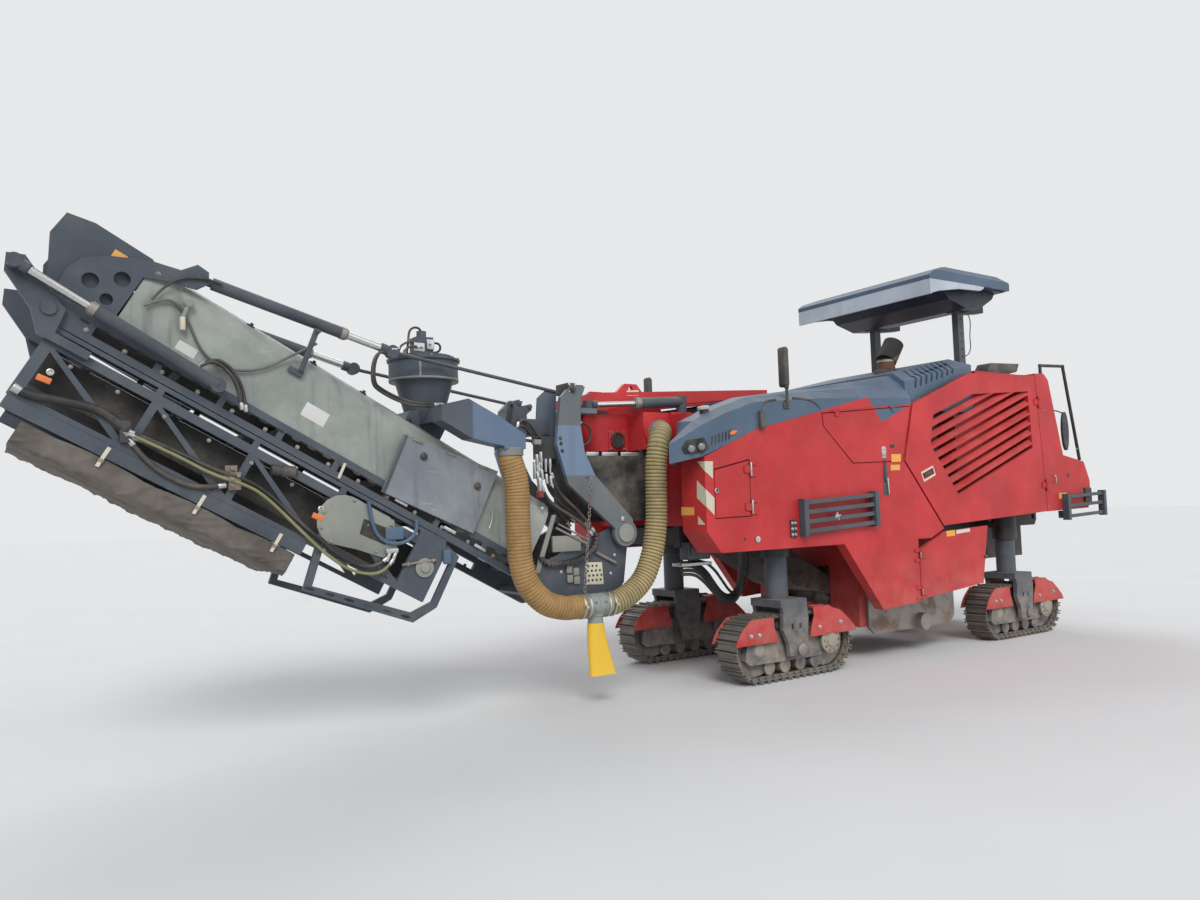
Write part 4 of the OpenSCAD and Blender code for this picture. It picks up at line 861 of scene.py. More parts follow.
def seen_on(across, down, *names):
    """The nearest place, and its slope, where a line of sight meets the named nodes."""
    line = sight(across, down)
    best = None
    for name in names:
        hit, place, slope, _ = nodes[name].ray_cast(CAMERA_PLACE, line)
        if hit and (best is None or (place - CAMERA_PLACE).length < (best[0] - CAMERA_PLACE).length):
            best = (place, slope if slope.dot(line) < 0 else -slope)
    if best is None:
        raise ValueError("nothing seen at %s, %s on %s" % (across, down, names))
    return best


def beside(name, x, z, side=-1, reach=3.0):
    """The place and slope of a node's surface, met from the side."""
    hit, place, slope, _ = nodes[name].ray_cast(at(x, side * reach, z), Vector((0, -side, 0)))
    if not hit:
        raise ValueError("nothing beside %s at %s, %s" % (name, x, z))
    return place, slope if slope.y * side > 0 else -slope


def above(name, x, y):
    hit, place, slope, _ = nodes[name].ray_cast(at(x, y, 5.0), Vector((0, 0, -1)))
    if not hit:
        raise ValueError("nothing above %s at %s, %s" % (name, x, y))
    return place, slope if slope.z > 0 else -slope


def decal(name, body, corners, outward, finish, thick=0.0012):
    outward = Vector(outward).normalized()
    lifted = [corner + outward * 0.0003 for corner in corners]
    return keep(plate(lifted, outward * thick, 0), name, body, finish)


def box_at(place, outward, along, size, soften=0.002):
    """A softened block standing on a surface: size along it, across it and out of it."""
    long, wide, deep = size
    obj = slab((-long / 2, -wide / 2, 0), (long / 2, wide / 2, deep), soften)
    obj.matrix_world = facing(place, outward, along)
    return obj


def chevrons():
    edge_side = [("a", [(705.8, 461.3), (712.8, 461.3), (712.8, 478.7), (705.8, 471.0)]),
                 ("b", [(705.8, 489.2), (714.4, 497.8), (714.4, 515.2), (705.8, 506.6)])]
    edge_front = [("a", [(697.0, 461.3), (705.8, 461.3), (705.8, 471.0)]),
                  ("b", [(697.0, 480.4), (705.8, 489.2), (705.8, 506.6), (697.0, 497.8)]),
                  ("c", [(698.2, 516.0), (705.3, 524.7), (698.2, 524.7)])]
    for key, points in edge_side:
        corners = [seen_on_wall(*p) for p in points]
        low = min(c.x for c in corners)
        corners = [Vector((-1.0395 + MIDDLE_X if c.x - low < 0.02 else c.x, c.y, c.z)) for c in corners]
        decal("chevron_side_" + key, "machine", corners, LEFT, cream_film)
    for key, points in edge_front:
        corners = [seen_on_front(*p) for p in points]
        corners = [Vector((c.x, max(c.y, -0.9495), c.z)) for c in corners]
        decal("chevron_front_" + key, "machine", corners, (-1, 0, 0), cream_film)
    decal("front_label", "machine",
          [seen_on_front(*p) for p in ((681.4, 507.0), (694.0, 507.4), (694.4, 515.0), (681.6, 515.4))],
          (-1, 0, 0), orange_film)


def wall_labels():
    for name, body, finish, corners in (
        ("hatch_label", "hatch_left", orange_film,
         ((891.2, 454.2), (900.6, 454.0), (900.9, 461.6), (891.4, 462.0))),
        ("catch_label", "machine", orange_film,
         ((890.6, 464.8), (899.8, 464.6), (900.1, 470.0), (890.8, 470.4))),
        ("lower_label_a", "lower_door_left", orange_film,
         ((946.2, 531.0), (954.6, 530.0), (955.0, 535.6), (946.8, 536.6))),
        ("lower_label_b", "lower_door_left", pale_film,
         ((956.2, 530.2), (969.8, 528.2), (969.9, 531.6), (956.4, 533.9))),
        ("rear_label", "machine", orange_film,
         ((1058.9, 493.0), (1066.6, 492.6), (1066.8, 498.3), (1059.1, 498.8))),
    ):
        decal(name, body, [seen_on_wall(*p) for p in corners], LEFT, finish)


def hatch_catch(side, key):
    """The tension latch of the fuel hatch: a drilled pale plate over a dark toggle and its lever."""
    y = side * WALL
    plate_low = panel([(1.048, 1.835), (1.102, 1.835), (1.108, 1.925), (1.095, 1.94), (1.058, 1.94),
                       (1.045, 1.925)], y, side * 0.004, 0.001)
    # Painted shade: the plate's drilled holes are thin near-black discs.
    holes = [rod((x, y + side * 0.003, z), (x, y + side * 0.0045, z), 0.006, 12) for x in (1.062, 1.09)
             for z in (1.862, 1.914)]
    keep(plate_low, "hatch_catch_plate_" + key, "hatch_" + key, silver)
    keep(holes, "hatch_catch_holes_" + key, "hatch_" + key, black_and_hole_shade)
    bed = panel([(1.052, 1.5), (1.118, 1.5), (1.112, 1.76), (1.058, 1.77)], y, side * 0.003, 0.001)
    toggle = panel([(1.062, 1.63), (1.092, 1.62), (1.098, 1.7), (1.085, 1.77), (1.066, 1.76)], y,
                   side * 0.016, 0.004)
    hooks = [rod((x, y + side * 0.008, 1.7), (x + 0.004, y + side * 0.008, 1.82), 0.004, 10)
             for x in (1.066, 1.086)]
    keep([bed, toggle] + hooks, "hatch_toggle_" + key, "machine", cylinder_paint)
    lever = panel([(1.094, 1.66), (1.11, 1.655), (1.118, 1.51), (1.104, 1.505)], y + side * 0.008,
                  side * 0.005, 0.002)
    keep(lever, "hatch_lever_" + key, "machine", silver)
    # Painted shade: the finger slot is a flat near-black panel.
    slot = panel([(1.165, 1.925), (1.232, 1.93), (1.232, 1.962), (1.165, 1.957)], y, side * 0.0012, 0)
    keep(slot, "hatch_finger_slot_" + key, "hatch_" + key, black_and_hole_shade)


def door_furniture(side, key):
    y = side * WALL
    # Paddle latch in the louvre door's recess, with its pale frame
    ring = [(1.59, 1.706), (1.772, 1.768), (1.812, 1.678), (1.628, 1.613)]
    inner = [(1.612, 1.692), (1.768, 1.745), (1.788, 1.692), (1.632, 1.637)]
    sides = [panel([ring[i], ring[(i + 1) % 4], inner[(i + 1) % 4], inner[i]], y, side * 0.003, 0.0008, 1)
             for i in range(4)]
    keep(sides, "louvre_latch_frame_" + key, "louvre_door_" + key, cream_film)
    paddle = panel([(1.64, 1.69), (1.755, 1.73), (1.768, 1.7), (1.655, 1.66)], y - side * 0.01,
                   side * 0.009, 0.003)
    keep(paddle, "louvre_latch_paddle_" + key, "louvre_door_" + key, plastic)
    # Lower door's catch, and its hinge sleeves
    knob = turned([(0.016, 0.0), (0.02, 0.002), (0.02, 0.01), (0.013, 0.014), (0.004, 0.0145)],
                  at(2.53, y, 0.87), (0, side, 0), 24)
    arm = panel([(2.5, 0.862), (2.535, 0.866), (2.535, 0.88), (2.498, 0.874)], y + side * 0.01,
                side * 0.004, 0.001)
    keep([knob, arm], "lower_door_catch_" + key, "lower_door_" + key, cylinder_paint)
    sleeves = [rod((1.508, side * 0.962, z - 0.028), (1.508, side * 0.962, z + 0.028), 0.0078, 16, 0.001)
               for z in (0.6, 0.94)]
    keep(sleeves, "lower_door_hinge_sleeves_" + key, "lower_door_" + key, worn)
    # Rear panel's pull handle and lock
    pull = pipe([at(3.835, y, 1.665), at(3.835, y + side * 0.022, 1.665), at(3.838, y + side * 0.026, 1.62),
                 at(3.842, y + side * 0.022, 1.575), at(3.842, y, 1.575)], 0.006, 12, 3)
    keep(pull, "rear_panel_pull_" + key, "machine", silver)
    lock = turned([(0.014, 0.0), (0.018, 0.002), (0.018, 0.007), (0.01, 0.009)], at(4.13, y, 1.66),
                  (0, side, 0), 20)
    keep(lock, "rear_panel_lock_" + key, "machine", cylinder_paint)
    fold = panel([(1.63, 2.399), (2.392, 2.674), (2.394, 2.684), (1.627, 2.409)], y, side * 0.0025, 0.001, 1)
    keep(fold, "cowl_seal_" + key, "louvre_door_" + key, black_and_hole_shade)
    # Drain plug and its blind hole
    plug = turned([(0.02, 0.0), (0.026, 0.003), (0.026, 0.007), (0.012, 0.01), (0.008, 0.006)],
                  at(-0.515, y, 1.178), (0, side, 0), 28)
    keep(plug, "tank_drain_" + key, "machine", silver)
    # Painted shade: the blind hole is a thin near-black disc.
    hole = turned([(0.013, 0.0), (0.013, 0.0012), (0.006, 0.0013)], at(-0.655, y, 1.185), (0, side, 0), 20)
    keep(hole, "tank_breather_" + key, "machine", black_and_hole_shade)


def tool_door_furniture():
    y = -WALL
    knob = turned([(0.017, 0.0), (0.021, 0.002), (0.021, 0.009), (0.014, 0.013), (0.005, 0.0135)],
                  at(-0.933, y, 1.575), LEFT, 24)
    keep(knob, "tool_door_lock", "tool_door", silver)
    # Painted shade: the key slot is a flat near-black piece on the knob.
    key = panel([(-0.944, 1.567), (-0.922, 1.567), (-0.927, 1.592), (-0.939, 1.592)], y - 0.0135, -0.003,
                0.001)
    keep(key, "tool_door_lock_slot", "tool_door", black_and_hole_shade)
    sleeves = [rod((-0.566, -0.962, z - 0.055), (-0.566, -0.962, z + 0.055), 0.0082, 16, 0.001)
               for z in (1.44, 1.74)]
    keep(sleeves, "tool_door_hinge_sleeves", "tool_door", silver)
    bolts("tool_door_hinge_bolts", "tool_door",
          [at(x, y, z + dz) for x, z in ((-0.605, 1.44), (-0.605, 1.74)) for dz in (-0.03, 0.03)], LEFT,
          cylinder_paint, 0.007)


def step_rail_fittings(side, key):
    """Bolted foot plate at the front post and the lock pin on the folding step."""
    foot = panel([(-0.15, 1.175), (-0.08, 1.175), (-0.08, 1.32), (-0.15, 1.32)], side * 0.951, side * 0.01,
                 0.002)
    keep(foot, "step_foot_plate_" + key, "machine", black_and_hole_shade)
    bolts("step_foot_bolts_" + key, "machine",
          [at(x, side * 0.961, z) for x in (-0.133, -0.097) for z in (1.2, 1.247, 1.295)], (0, side, 0),
          silver, 0.009)
    place, slope = beside("step_rails", 0.372, 1.335, side)
    boss = turned([(0.02, 0.0), (0.024, 0.002), (0.024, 0.012), (0.014, 0.016), (0.006, 0.03)],
                  place - slope * 0.018, slope, 24)
    wing = [box_at(place - slope * 0.003, slope, (math.cos(a), 0, math.sin(a)), (0.075, 0.012, 0.007),
                   0.002) for a in (0.3, 1.9)]
    keep([boss] + wing, "step_lock_pin_" + key, "machine", silver)


def nose_trim(side, key):
    """Lamp pocket with its two lamps, slots, marker lamp and handle on the nose of the grey hood."""
    pocket, slopes = [], Vector()
    for x, z in ((-1.235, 1.855), (-1.06, 1.868), (-0.985, 1.905), (-1.04, 1.985), (-1.215, 1.962),
                 (-1.262, 1.9)):
        place, slope = beside("top_hood", x, z, side)
        pocket.append(place)
        slopes += slope
    slopes.normalize()
    middle = sum(pocket, Vector()) / len(pocket)
    flat = [p - slopes * (p - middle).dot(slopes) + slopes * 0.001 for p in pocket]
    # Painted shade: the lamp pocket is a flat near-black plate where the recess lies.
    keep(plate(flat, slopes * 0.006, 0.002), "lamp_pocket_" + key, "machine", black_and_hole_shade)
    for number, (x, z, radius) in enumerate(((-1.175, 1.898, 0.036), (-1.075, 1.915, 0.036))):
        place, _ = beside("top_hood", x, z, side)
        place = place - slopes * (place - middle).dot(slopes) + slopes * 0.006
        aim = (slopes + Vector((-0.5, 0, -0.1))).normalized()
        can = turned([(radius * 0.8, -0.012), (radius, 0.006), (radius, 0.026), (radius * 0.9, 0.03),
                      (radius * 0.86, 0.022)], place, aim, 32)
        keep(can, "work_lamp_%d_%s" % (number + 1, key), "machine", plastic)
        lens = turned([(radius * 0.85, 0.0), (radius * 0.85, 0.024), (radius * 0.6, 0.031),
                       (radius * 0.25, 0.034)], place, aim, 32)
        keep(lens, "work_lamp_lens_%d_%s" % (number + 1, key), "machine", lamp_lens, 60)
    # Painted shade: the slots are flat near-black plates on the hood.
    slots = []
    for i in range(6):
        x, z = -0.955 + i * 0.036, 1.962 + i * 0.01
        corners = [beside("top_hood", px, pz, side)
                   for px, pz in ((x - 0.012, z - 0.038), (x + 0.003, z - 0.034), (x + 0.012, z + 0.038),
                                  (x - 0.003, z + 0.034))]
        slope = sum((c[1] for c in corners), Vector()).normalized()
        slots.append(plate([c[0] + slope * 0.0006 for c in corners], slope * 0.0014, 0))
    keep(slots, "nose_slots_" + key, "machine", black_and_hole_shade)
    ring = []
    for a in turns(20):
        place, slope = beside("top_hood", -0.735 + 0.038 * math.cos(a),
                              2.03 + 0.016 * math.sin(a) + 0.01 * math.cos(a), side)
        ring.append(place + slope * 0.0005)
    place, slope = beside("top_hood", -0.735, 2.03, side)
    keep(plate(ring, slope * 0.009, 0.004, 3), "marker_lamp_" + key, "machine", amber, 60)
    # Moulded handle over the hood's edge
    place, slope = seen_on(760.5, 420.0, "top_hood")
    grip = box_at(Vector((place.x, place.y * -side, place.z)), (slope.x, slope.y * -side, slope.z), UP,
                  (0.15, 0.05, 0.04), 0.012)
    keep(grip, "nose_handle_" + key, "machine", plastic)


def fillers():
    for side, key in SIDES:
        place, slope = above("top_hood", -0.88, side * 0.78)
        aim = (slope + Vector((0, 0, 1.5))).normalized()
        neck = turned([(0.03, -0.03), (0.036, 0.0), (0.036, 0.024), (0.03, 0.028)], place, aim, 32)
        keep(neck, "tank_neck_" + key, "machine", plastic)
        cap = turned([(0.044, 0.022), (0.05, 0.026), (0.05, 0.044), (0.04, 0.052), (0.012, 0.054)], place,
                     aim, 32)
        keep(cap, "tank_cap_" + key, "machine", pale_plastic)


# Tarpaulin on the folding section
TARP_FROM, TARP_TO, TARP_EDGE, TARP_CROWN, TARP_HALF = 0.2, 1.872, 0.596, 0.75, 0.434
TARP_TIES = (0.64, 1.22, 1.73)


def tarp_section(count):
    """Points across the tarpaulin, from edge to edge round its rounded shoulders, as (y, height)."""
    bend = 0.055
    corners = [Vector((-TARP_HALF, TARP_EDGE)), Vector((-TARP_HALF, TARP_CROWN - bend))]
    for i in range(1, 7):
        a = i * math.pi / 12
        corners.append(Vector((-TARP_HALF + bend - bend * math.cos(a),
                               TARP_CROWN - bend + bend * math.sin(a))))
    corners += [Vector((-p.x, p.y)) for p in reversed(corners)]
    return evenly(corners, count), path_lengths(corners)[-1]


def tarpaulin_cover():
    """The sheet is a grid laid over the section, pulled in between its ties
    and creased by two scales of noise."""
    across, along = 130, 190
    section, width = tarp_section(across)
    deselect()
    bpy.ops.mesh.primitive_grid_add(x_subdivisions=across, y_subdivisions=along, size=2)
    obj = bpy.context.object
    for index, vertex in enumerate(obj.data.vertices):
        row, column = divmod(index, across + 1)
        t = TARP_FROM + (TARP_TO - TARP_FROM) * row / along
        y, height = section[column]
        before, after = section[max(column - 1, 0)], section[min(column + 1, across)]
        inward = Vector((after.y - before.y, before.x - after.x)).normalized()
        spot = Vector((t, y, height))
        broad = noise.noise(spot * 3.1 + Vector((4, 1, 0)))
        drag = 1 - 2 * abs(noise.noise(Vector((t * 8 + height * 14 + y * 2, height * 5 - t * 2, y * 2))))
        fine = 1 - 2 * abs(noise.noise(Vector((t * 21 - height * 26 + y * 4, y * 5, height * 9))))
        edge_share = min(1.0, 6 * min(column, across - column) / across)
        creases = 0.0045 * fine * fine * fine * (0.4 + edge_share)
        depth = 0.012 + 0.007 * broad - 0.01 * drag * drag * drag - creases
        near_tie = min(abs(t - tie) for tie in TARP_TIES)
        if edge_share < 1:
            height += (1 - edge_share) * 0.014 * min(1.0, near_tie / 0.25) ** 2
        y += inward.x * depth
        height += inward.y * depth
        vertex.co = on_tip(t, min(height, 0.7585), y)
    keep(obj, "tip_tarpaulin", "tip_conveyor", tarp, 80, ("tip_tarp",))
    straps, buckles = [], []
    for tie in TARP_TIES:
        for side in (-1, 1):
            outer = side * 0.4402
            straps.append(plate([on_tip(tie - 0.01, 0.525, outer), on_tip(tie + 0.012, 0.525, outer),
                                 on_tip(tie + 0.008, 0.65, outer), on_tip(tie - 0.013, 0.652, outer)],
                                (0, side * 0.0016, 0), 0.0004, 1))
            buckles.append(plate([on_tip(tie - 0.014, 0.6, outer), on_tip(tie + 0.014, 0.6, outer),
                                  on_tip(tie + 0.013, 0.622, outer), on_tip(tie - 0.015, 0.622, outer)],
                                 (0, side * 0.004, 0), 0.001, 1))
    straps = keep(straps, "tarp_straps", "tip_conveyor", cream_film)
    buckles = keep(buckles, "tarp_buckles", "tip_conveyor", worn)
    TARP_TO - TARP_FROM


# Cylinders
def cylinder_trim(name, body, rod_from, rod_to, rod_r, barrel_r):
    """Chrome over the bare rod from the barrel's mouth to its eye, with the gland ring and a wiper."""
    rod_from, rod_to = Vector(rod_from), Vector(rod_to)
    way = (rod_to - rod_from).normalized()
    keep(bar(rod_from, rod_to - way * (rod_r + 0.012), rod_r + 0.0004, 32), name + "_rod", body, chrome)
    gland = turned([(rod_r + 0.002, -0.03), (barrel_r + 0.003, -0.03), (barrel_r + 0.003, 0.004),
                    (barrel_r - 0.002, 0.01), (rod_r + 0.01, 0.011), (rod_r + 0.008, 0.018),
                    (rod_r + 0.001, 0.018)], rod_from, way, 36)
    keep(gland, name + "_gland", body, worn)
    sleeve = turned([(rod_r + 0.0005, -0.052), (rod_r + 0.01, -0.046), (rod_r + 0.01, -0.004),
                     (rod_r + 0.0005, 0.0)], rod_to - way * (rod_r + 0.01), way, 32)
    keep(sleeve, name + "_eye_sleeve", body, cylinder_paint)


def cylinders():
    for side, key in SIDES:
        y = side * 0.401
        base, eye = Vector((3.505, -0.035)), Vector((2.245, 0.246))
        mouth = base.lerp(eye, (3.505 - 2.575) / (3.505 - 2.245))
        cylinder_trim("luff_cylinder_" + key, "main_conveyor", on_conveyor(mouth.x, mouth.y, y),
                      on_conveyor(eye.x, eye.y, y), 0.026, 0.039)
        y = side * 0.525
        base, eye = Vector((3.095, -0.575)), Vector((4.303, -0.527))
        mouth = base + (eye - base).normalized() * 0.78
        cylinder_trim("fold_cylinder_" + key, "main_conveyor", on_conveyor(mouth.x, mouth.y, y),
                      on_conveyor(eye.x, eye.y, y), 0.022, 0.038)
    eye, base = Vector((-1.74, -0.4, 2.275)), Vector((-0.8, -0.4, 2.335))
    cylinder_trim("slew_cylinder", "machine", at(*base.lerp(eye, 0.5)), at(*eye), 0.0225, 0.045)


# Suction branch
def lofted(stations, sides=40):
    """A tube whose rings go from round to squared.
    A station is (place, half along x, half along y, power)."""
    deselect()
    bpy.ops.mesh.primitive_grid_add(x_subdivisions=sides, y_subdivisions=len(stations) - 1, size=2)
    obj = bpy.context.object
    for index, vertex in enumerate(obj.data.vertices):
        row, column = divmod(index, sides + 1)
        place, half_x, half_y, power = stations[row]
        turn = 2 * math.pi * column / sides
        c, s = math.cos(turn), math.sin(turn)
        vertex.co = place + Vector((half_x * math.copysign(abs(c) ** (2 / power), c),
                                    half_y * math.copysign(abs(s) ** (2 / power), s), 0))
    return obj


def suction_tee():
    x, y, z = COUPLING
    rings = [rod((x - 0.1, y, z), (x + 0.1, y, z), HOSE_R - 0.001, 48, 0.002)]
    rings += [turned([(0.058, 0.0), (0.058, 0.06), (0.066, 0.064), (0.066, 0.082), (0.058, 0.086)],
                     at(x, y, z - 0.14), UP, 40)]
    for dx in (-0.06, 0.0, 0.06):
        rings.append(ring_round(at(x + dx, y, z), (1, 0, 0), HOSE_R - 0.002, 0.006, 0.004))
    keep(rings, "suction_tee", "slewing_mast", coupling_grey, 40, ("suction_branch",))
    bolts("suction_tee_bolts", "slewing_mast",
          [at(x + dx, y - HOSE_R + 0.0005, z + dz)
           for dx, dz in ((-0.045, 0.03), (0.045, 0.03), (-0.045, -0.03), (0.045, -0.03))], LEFT, worn,
          0.007)
    outline = ((-0.128, -0.062, 0.062, 0.062, 2.0), (-0.15, -0.066, 0.066, 0.06, 2.0),
               (-0.162, -0.066, 0.067, 0.057, 2.2), (-0.26, -0.07, 0.085, 0.046, 2.8),
               (-0.4, -0.066, 0.125, 0.036, 3.4), (-0.5, -0.061, 0.158, 0.031, 4.0),
               (-0.519, -0.06, 0.164, 0.032, 4.0), (-0.519, -0.054, 0.158, 0.026, 4.0),
               (-0.48, -0.052, 0.148, 0.024, 4.0))
    stations = [(at(x + (low + high) / 2, y, z + dz), (high - low) / 2, half_y, power)
                for dz, low, high, half_y, power in outline]
    keep(lofted(stations, 48), "suction_nozzle", "slewing_mast", yellow_plastic, 50)
    deselect()
    bpy.ops.mesh.primitive_torus_add(major_radius=0.011, minor_radius=0.0028, major_segments=14,
                                     minor_segments=6, location=(0, 0, 0))
    link = bpy.context.object
    for vertex in link.data.vertices:
        vertex.co.x *= 1.7
    count = 31
    flat = Matrix.Rotation(math.radians(90), 4, "Y")
    places = []
    for i in range(count):
        spot = Matrix.Translation(at(x - 0.088 * (1 - i / (count - 1)), y, z + 0.092 + 0.0279 * i))
        places.append(spot @ flat @ Matrix.Rotation(math.radians(90 * (i % 2)), 4, "X"))
    keep(copies(link, places), "nozzle_chain", "slewing_mast", worn)
    hook = pipe([at(x, y, 1.68), at(x, y, 1.706), at(x, y + 0.03, 1.708), at(x, -0.512, 1.706)], 0.005, 10, 3)
    keep(hook, "nozzle_hook", "slewing_mast", worn)


# Hoses and cables fixed at both ends
# Each line: name, body, y, radius, skin and the places that it runs through, as (x, z)
HOSE_LINES = (
    ("fold_hose_a", "main_conveyor", -0.505, 0.011, "black",
     ((-4.6, 2.36), (-4.52, 2.44), (-4.42, 2.39), (-4.35, 2.28), (-4.33, 2.14))),
    ("fold_hose_b", "main_conveyor", -0.49, 0.011, "black",
     ((-4.57, 2.39), (-4.49, 2.455), (-4.39, 2.4), (-4.315, 2.27), (-4.305, 2.13))),
    ("hood_cable", "main_conveyor", -0.452, 0.0085, "grey",
     ((-4.86, 2.74), (-4.76, 2.8), (-4.665, 2.76), (-4.62, 2.66), (-4.56, 2.5), (-4.46, 2.405),
      (-4.33, 2.38), (-4.18, 2.405), (-4.0, 2.51), (-3.855, 2.59))),
    ("luff_cable", "main_conveyor", -0.455, 0.0075, "black",
     ((-4.82, 2.78), (-4.745, 2.88), (-4.64, 2.935), (-4.52, 2.94), (-4.43, 2.915))),
    ("fan_hose_a", "main_conveyor", -0.42, 0.01, "black",
     ((-3.3, 2.6), (-3.42, 2.585), (-3.475, 2.5), (-3.48, 2.35), (-3.43, 2.305), (-3.3, 2.24),
      (-3.13, 2.205), (-2.99, 2.222))),
    ("fan_hose_b", "main_conveyor", -0.405, 0.01, "black",
     ((-3.28, 2.61), (-3.4, 2.6), (-3.455, 2.51), (-3.46, 2.36), (-3.41, 2.32), (-3.29, 2.262),
      (-3.13, 2.225), (-2.99, 2.232))),
    ("duct_hose", "main_conveyor", -0.44, 0.009, "black",
     ((-2.985, 2.222), (-2.88, 2.228), (-2.76, 2.19), (-2.64, 2.135), (-2.6, 2.128))),
    ("mast_hose_a", "mast_to_foot", -0.447, 0.013, "black",
     ((-2.2, 1.64), (-2.165, 1.55), (-2.05, 1.47), (-1.92, 1.4), (-1.83, 1.34), (-1.765, 1.265))),
    ("mast_hose_b", "mast_to_foot", -0.455, 0.013, "black",
     ((-2.12, 1.74), (-2.085, 1.63), (-2.0, 1.54), (-1.9, 1.46), (-1.805, 1.36), (-1.752, 1.29))),
    ("mast_hose_c", "mast_to_foot", -0.405, 0.011, "black",
     ((-2.15, 1.86), (-2.14, 1.69), (-2.1, 1.59), (-2.0, 1.5), (-1.87, 1.42), (-1.78, 1.33))),
    ("mast_hose_d", "mast_to_foot", -0.33, 0.016, "black",
     ((-2.1, 1.84), (-2.08, 1.7), (-2.03, 1.58), (-1.945, 1.49), (-1.885, 1.425), (-1.85, 1.37))),
    ("mast_hose_e", "mast_to_foot", -0.29, 0.016, "black",
     ((-2.15, 1.83), (-2.14, 1.69), (-2.08, 1.55), (-1.985, 1.455), (-1.915, 1.395), (-1.87, 1.335))),
    ("mast_loop_a", "slewing_mast", -0.455, 0.011, "black",
     ((-2.4, 2.08), (-2.38, 2.14), (-2.31, 2.135), (-2.25, 2.05), (-2.19, 2.0), (-2.15, 1.96))),
    ("mast_loop_b", "slewing_mast", -0.435, 0.011, "black",
     ((-2.42, 2.04), (-2.39, 2.1), (-2.32, 2.09), (-2.27, 2.02), (-2.21, 1.98), (-2.18, 1.94))),
    ("mast_loop_c", "slewing_mast", -0.415, 0.012, "black",
     ((-2.44, 2.02), (-2.38, 1.985), (-2.3, 1.99), (-2.22, 1.975), (-2.14, 1.99))),
    ("curtain_hose_a", "slewing_mast", -0.43, 0.009, "black",
     ((-1.86, 2.13), (-1.79, 2.13), (-1.74, 2.09), (-1.735, 2.01), (-1.78, 1.95), (-1.85, 1.96))),
    ("tip_thick_hose", "tip_conveyor", -0.452, 0.026, "black",
     ((-5.5, 2.23), (-5.44, 2.185), (-5.3, 2.165), (-5.12, 2.13), (-5.0, 2.06), (-4.94, 1.98))),
    ("tip_hose_black", "tip_conveyor", -0.462, 0.013, "black",
     ((-4.95, 2.0), (-4.7, 1.89), (-4.48, 1.77), (-4.3, 1.715), (-4.16, 1.62), (-3.99, 1.45),
      (-3.86, 1.33), (-3.74, 1.22), (-3.6, 1.14), (-3.48, 1.13), (-3.405, 1.185))),
    ("tip_hose_green", "tip_conveyor", -0.472, 0.01, "green",
     ((-4.95, 1.985), (-4.7, 1.865), (-4.5, 1.745), (-4.3, 1.68), (-4.19, 1.61), (-4.02, 1.435),
      (-3.9, 1.31), (-3.8, 1.215), (-3.66, 1.115), (-3.52, 1.08), (-3.42, 1.105), (-3.375, 1.17))),
    ("tip_hose_low", "tip_conveyor", -0.452, 0.016, "black",
     ((-4.94, 1.95), (-4.86, 1.83), (-4.72, 1.72), (-4.56, 1.66), (-4.42, 1.68))),
    ("tip_hose_rail", "tip_conveyor", -0.446, 0.009, "green",
     ((-4.93, 1.96), (-4.82, 1.93), (-4.64, 1.84), (-4.48, 1.76), (-4.39, 1.73))),
    ("guard_pipe", "tip_conveyor", -0.462, 0.013, "slate",
     ((-3.53, 1.56), (-3.515, 1.42), (-3.46, 1.31), (-3.36, 1.268), (-3.25, 1.29), (-3.19, 1.36),
      (-3.2, 1.43))),
    ("front_hose_a", "machine", -0.4, 0.016, "black",
     ((-0.86, 0.93), (-0.74, 0.935), (-0.62, 0.87), (-0.52, 0.76), (-0.43, 0.66), (-0.33, 0.63),
      (-0.23, 0.7), (-0.19, 0.86), (-0.18, 1.06))),
    ("front_hose_b", "machine", -0.37, 0.016, "black",
     ((-0.84, 0.965), (-0.71, 0.965), (-0.58, 0.89), (-0.49, 0.78), (-0.41, 0.68), (-0.31, 0.65),
      (-0.22, 0.72), (-0.175, 0.87), (-0.16, 1.06))),
    ("front_hose_c", "machine", -0.34, 0.016, "black",
     ((-0.82, 0.99), (-0.68, 0.99), (-0.55, 0.91), (-0.46, 0.79), (-0.38, 0.7), (-0.29, 0.67),
      (-0.2, 0.73), (-0.155, 0.88), (-0.14, 1.06))),
    ("front_hose_d", "machine", -0.43, 0.014, "black",
     ((-0.88, 0.9), (-0.77, 0.905), (-0.66, 0.84), (-0.56, 0.74), (-0.46, 0.645), (-0.35, 0.615),
      (-0.25, 0.69), (-0.205, 0.85), (-0.2, 1.06))),
    ("front_hose_e", "machine", -0.42, 0.012, "black",
     ((-0.8, 1.01), (-0.66, 1.01), (-0.53, 0.93), (-0.44, 0.82), (-0.36, 0.72), (-0.27, 0.69),
      (-0.185, 0.75), (-0.14, 0.89), (-0.12, 1.06))),
)


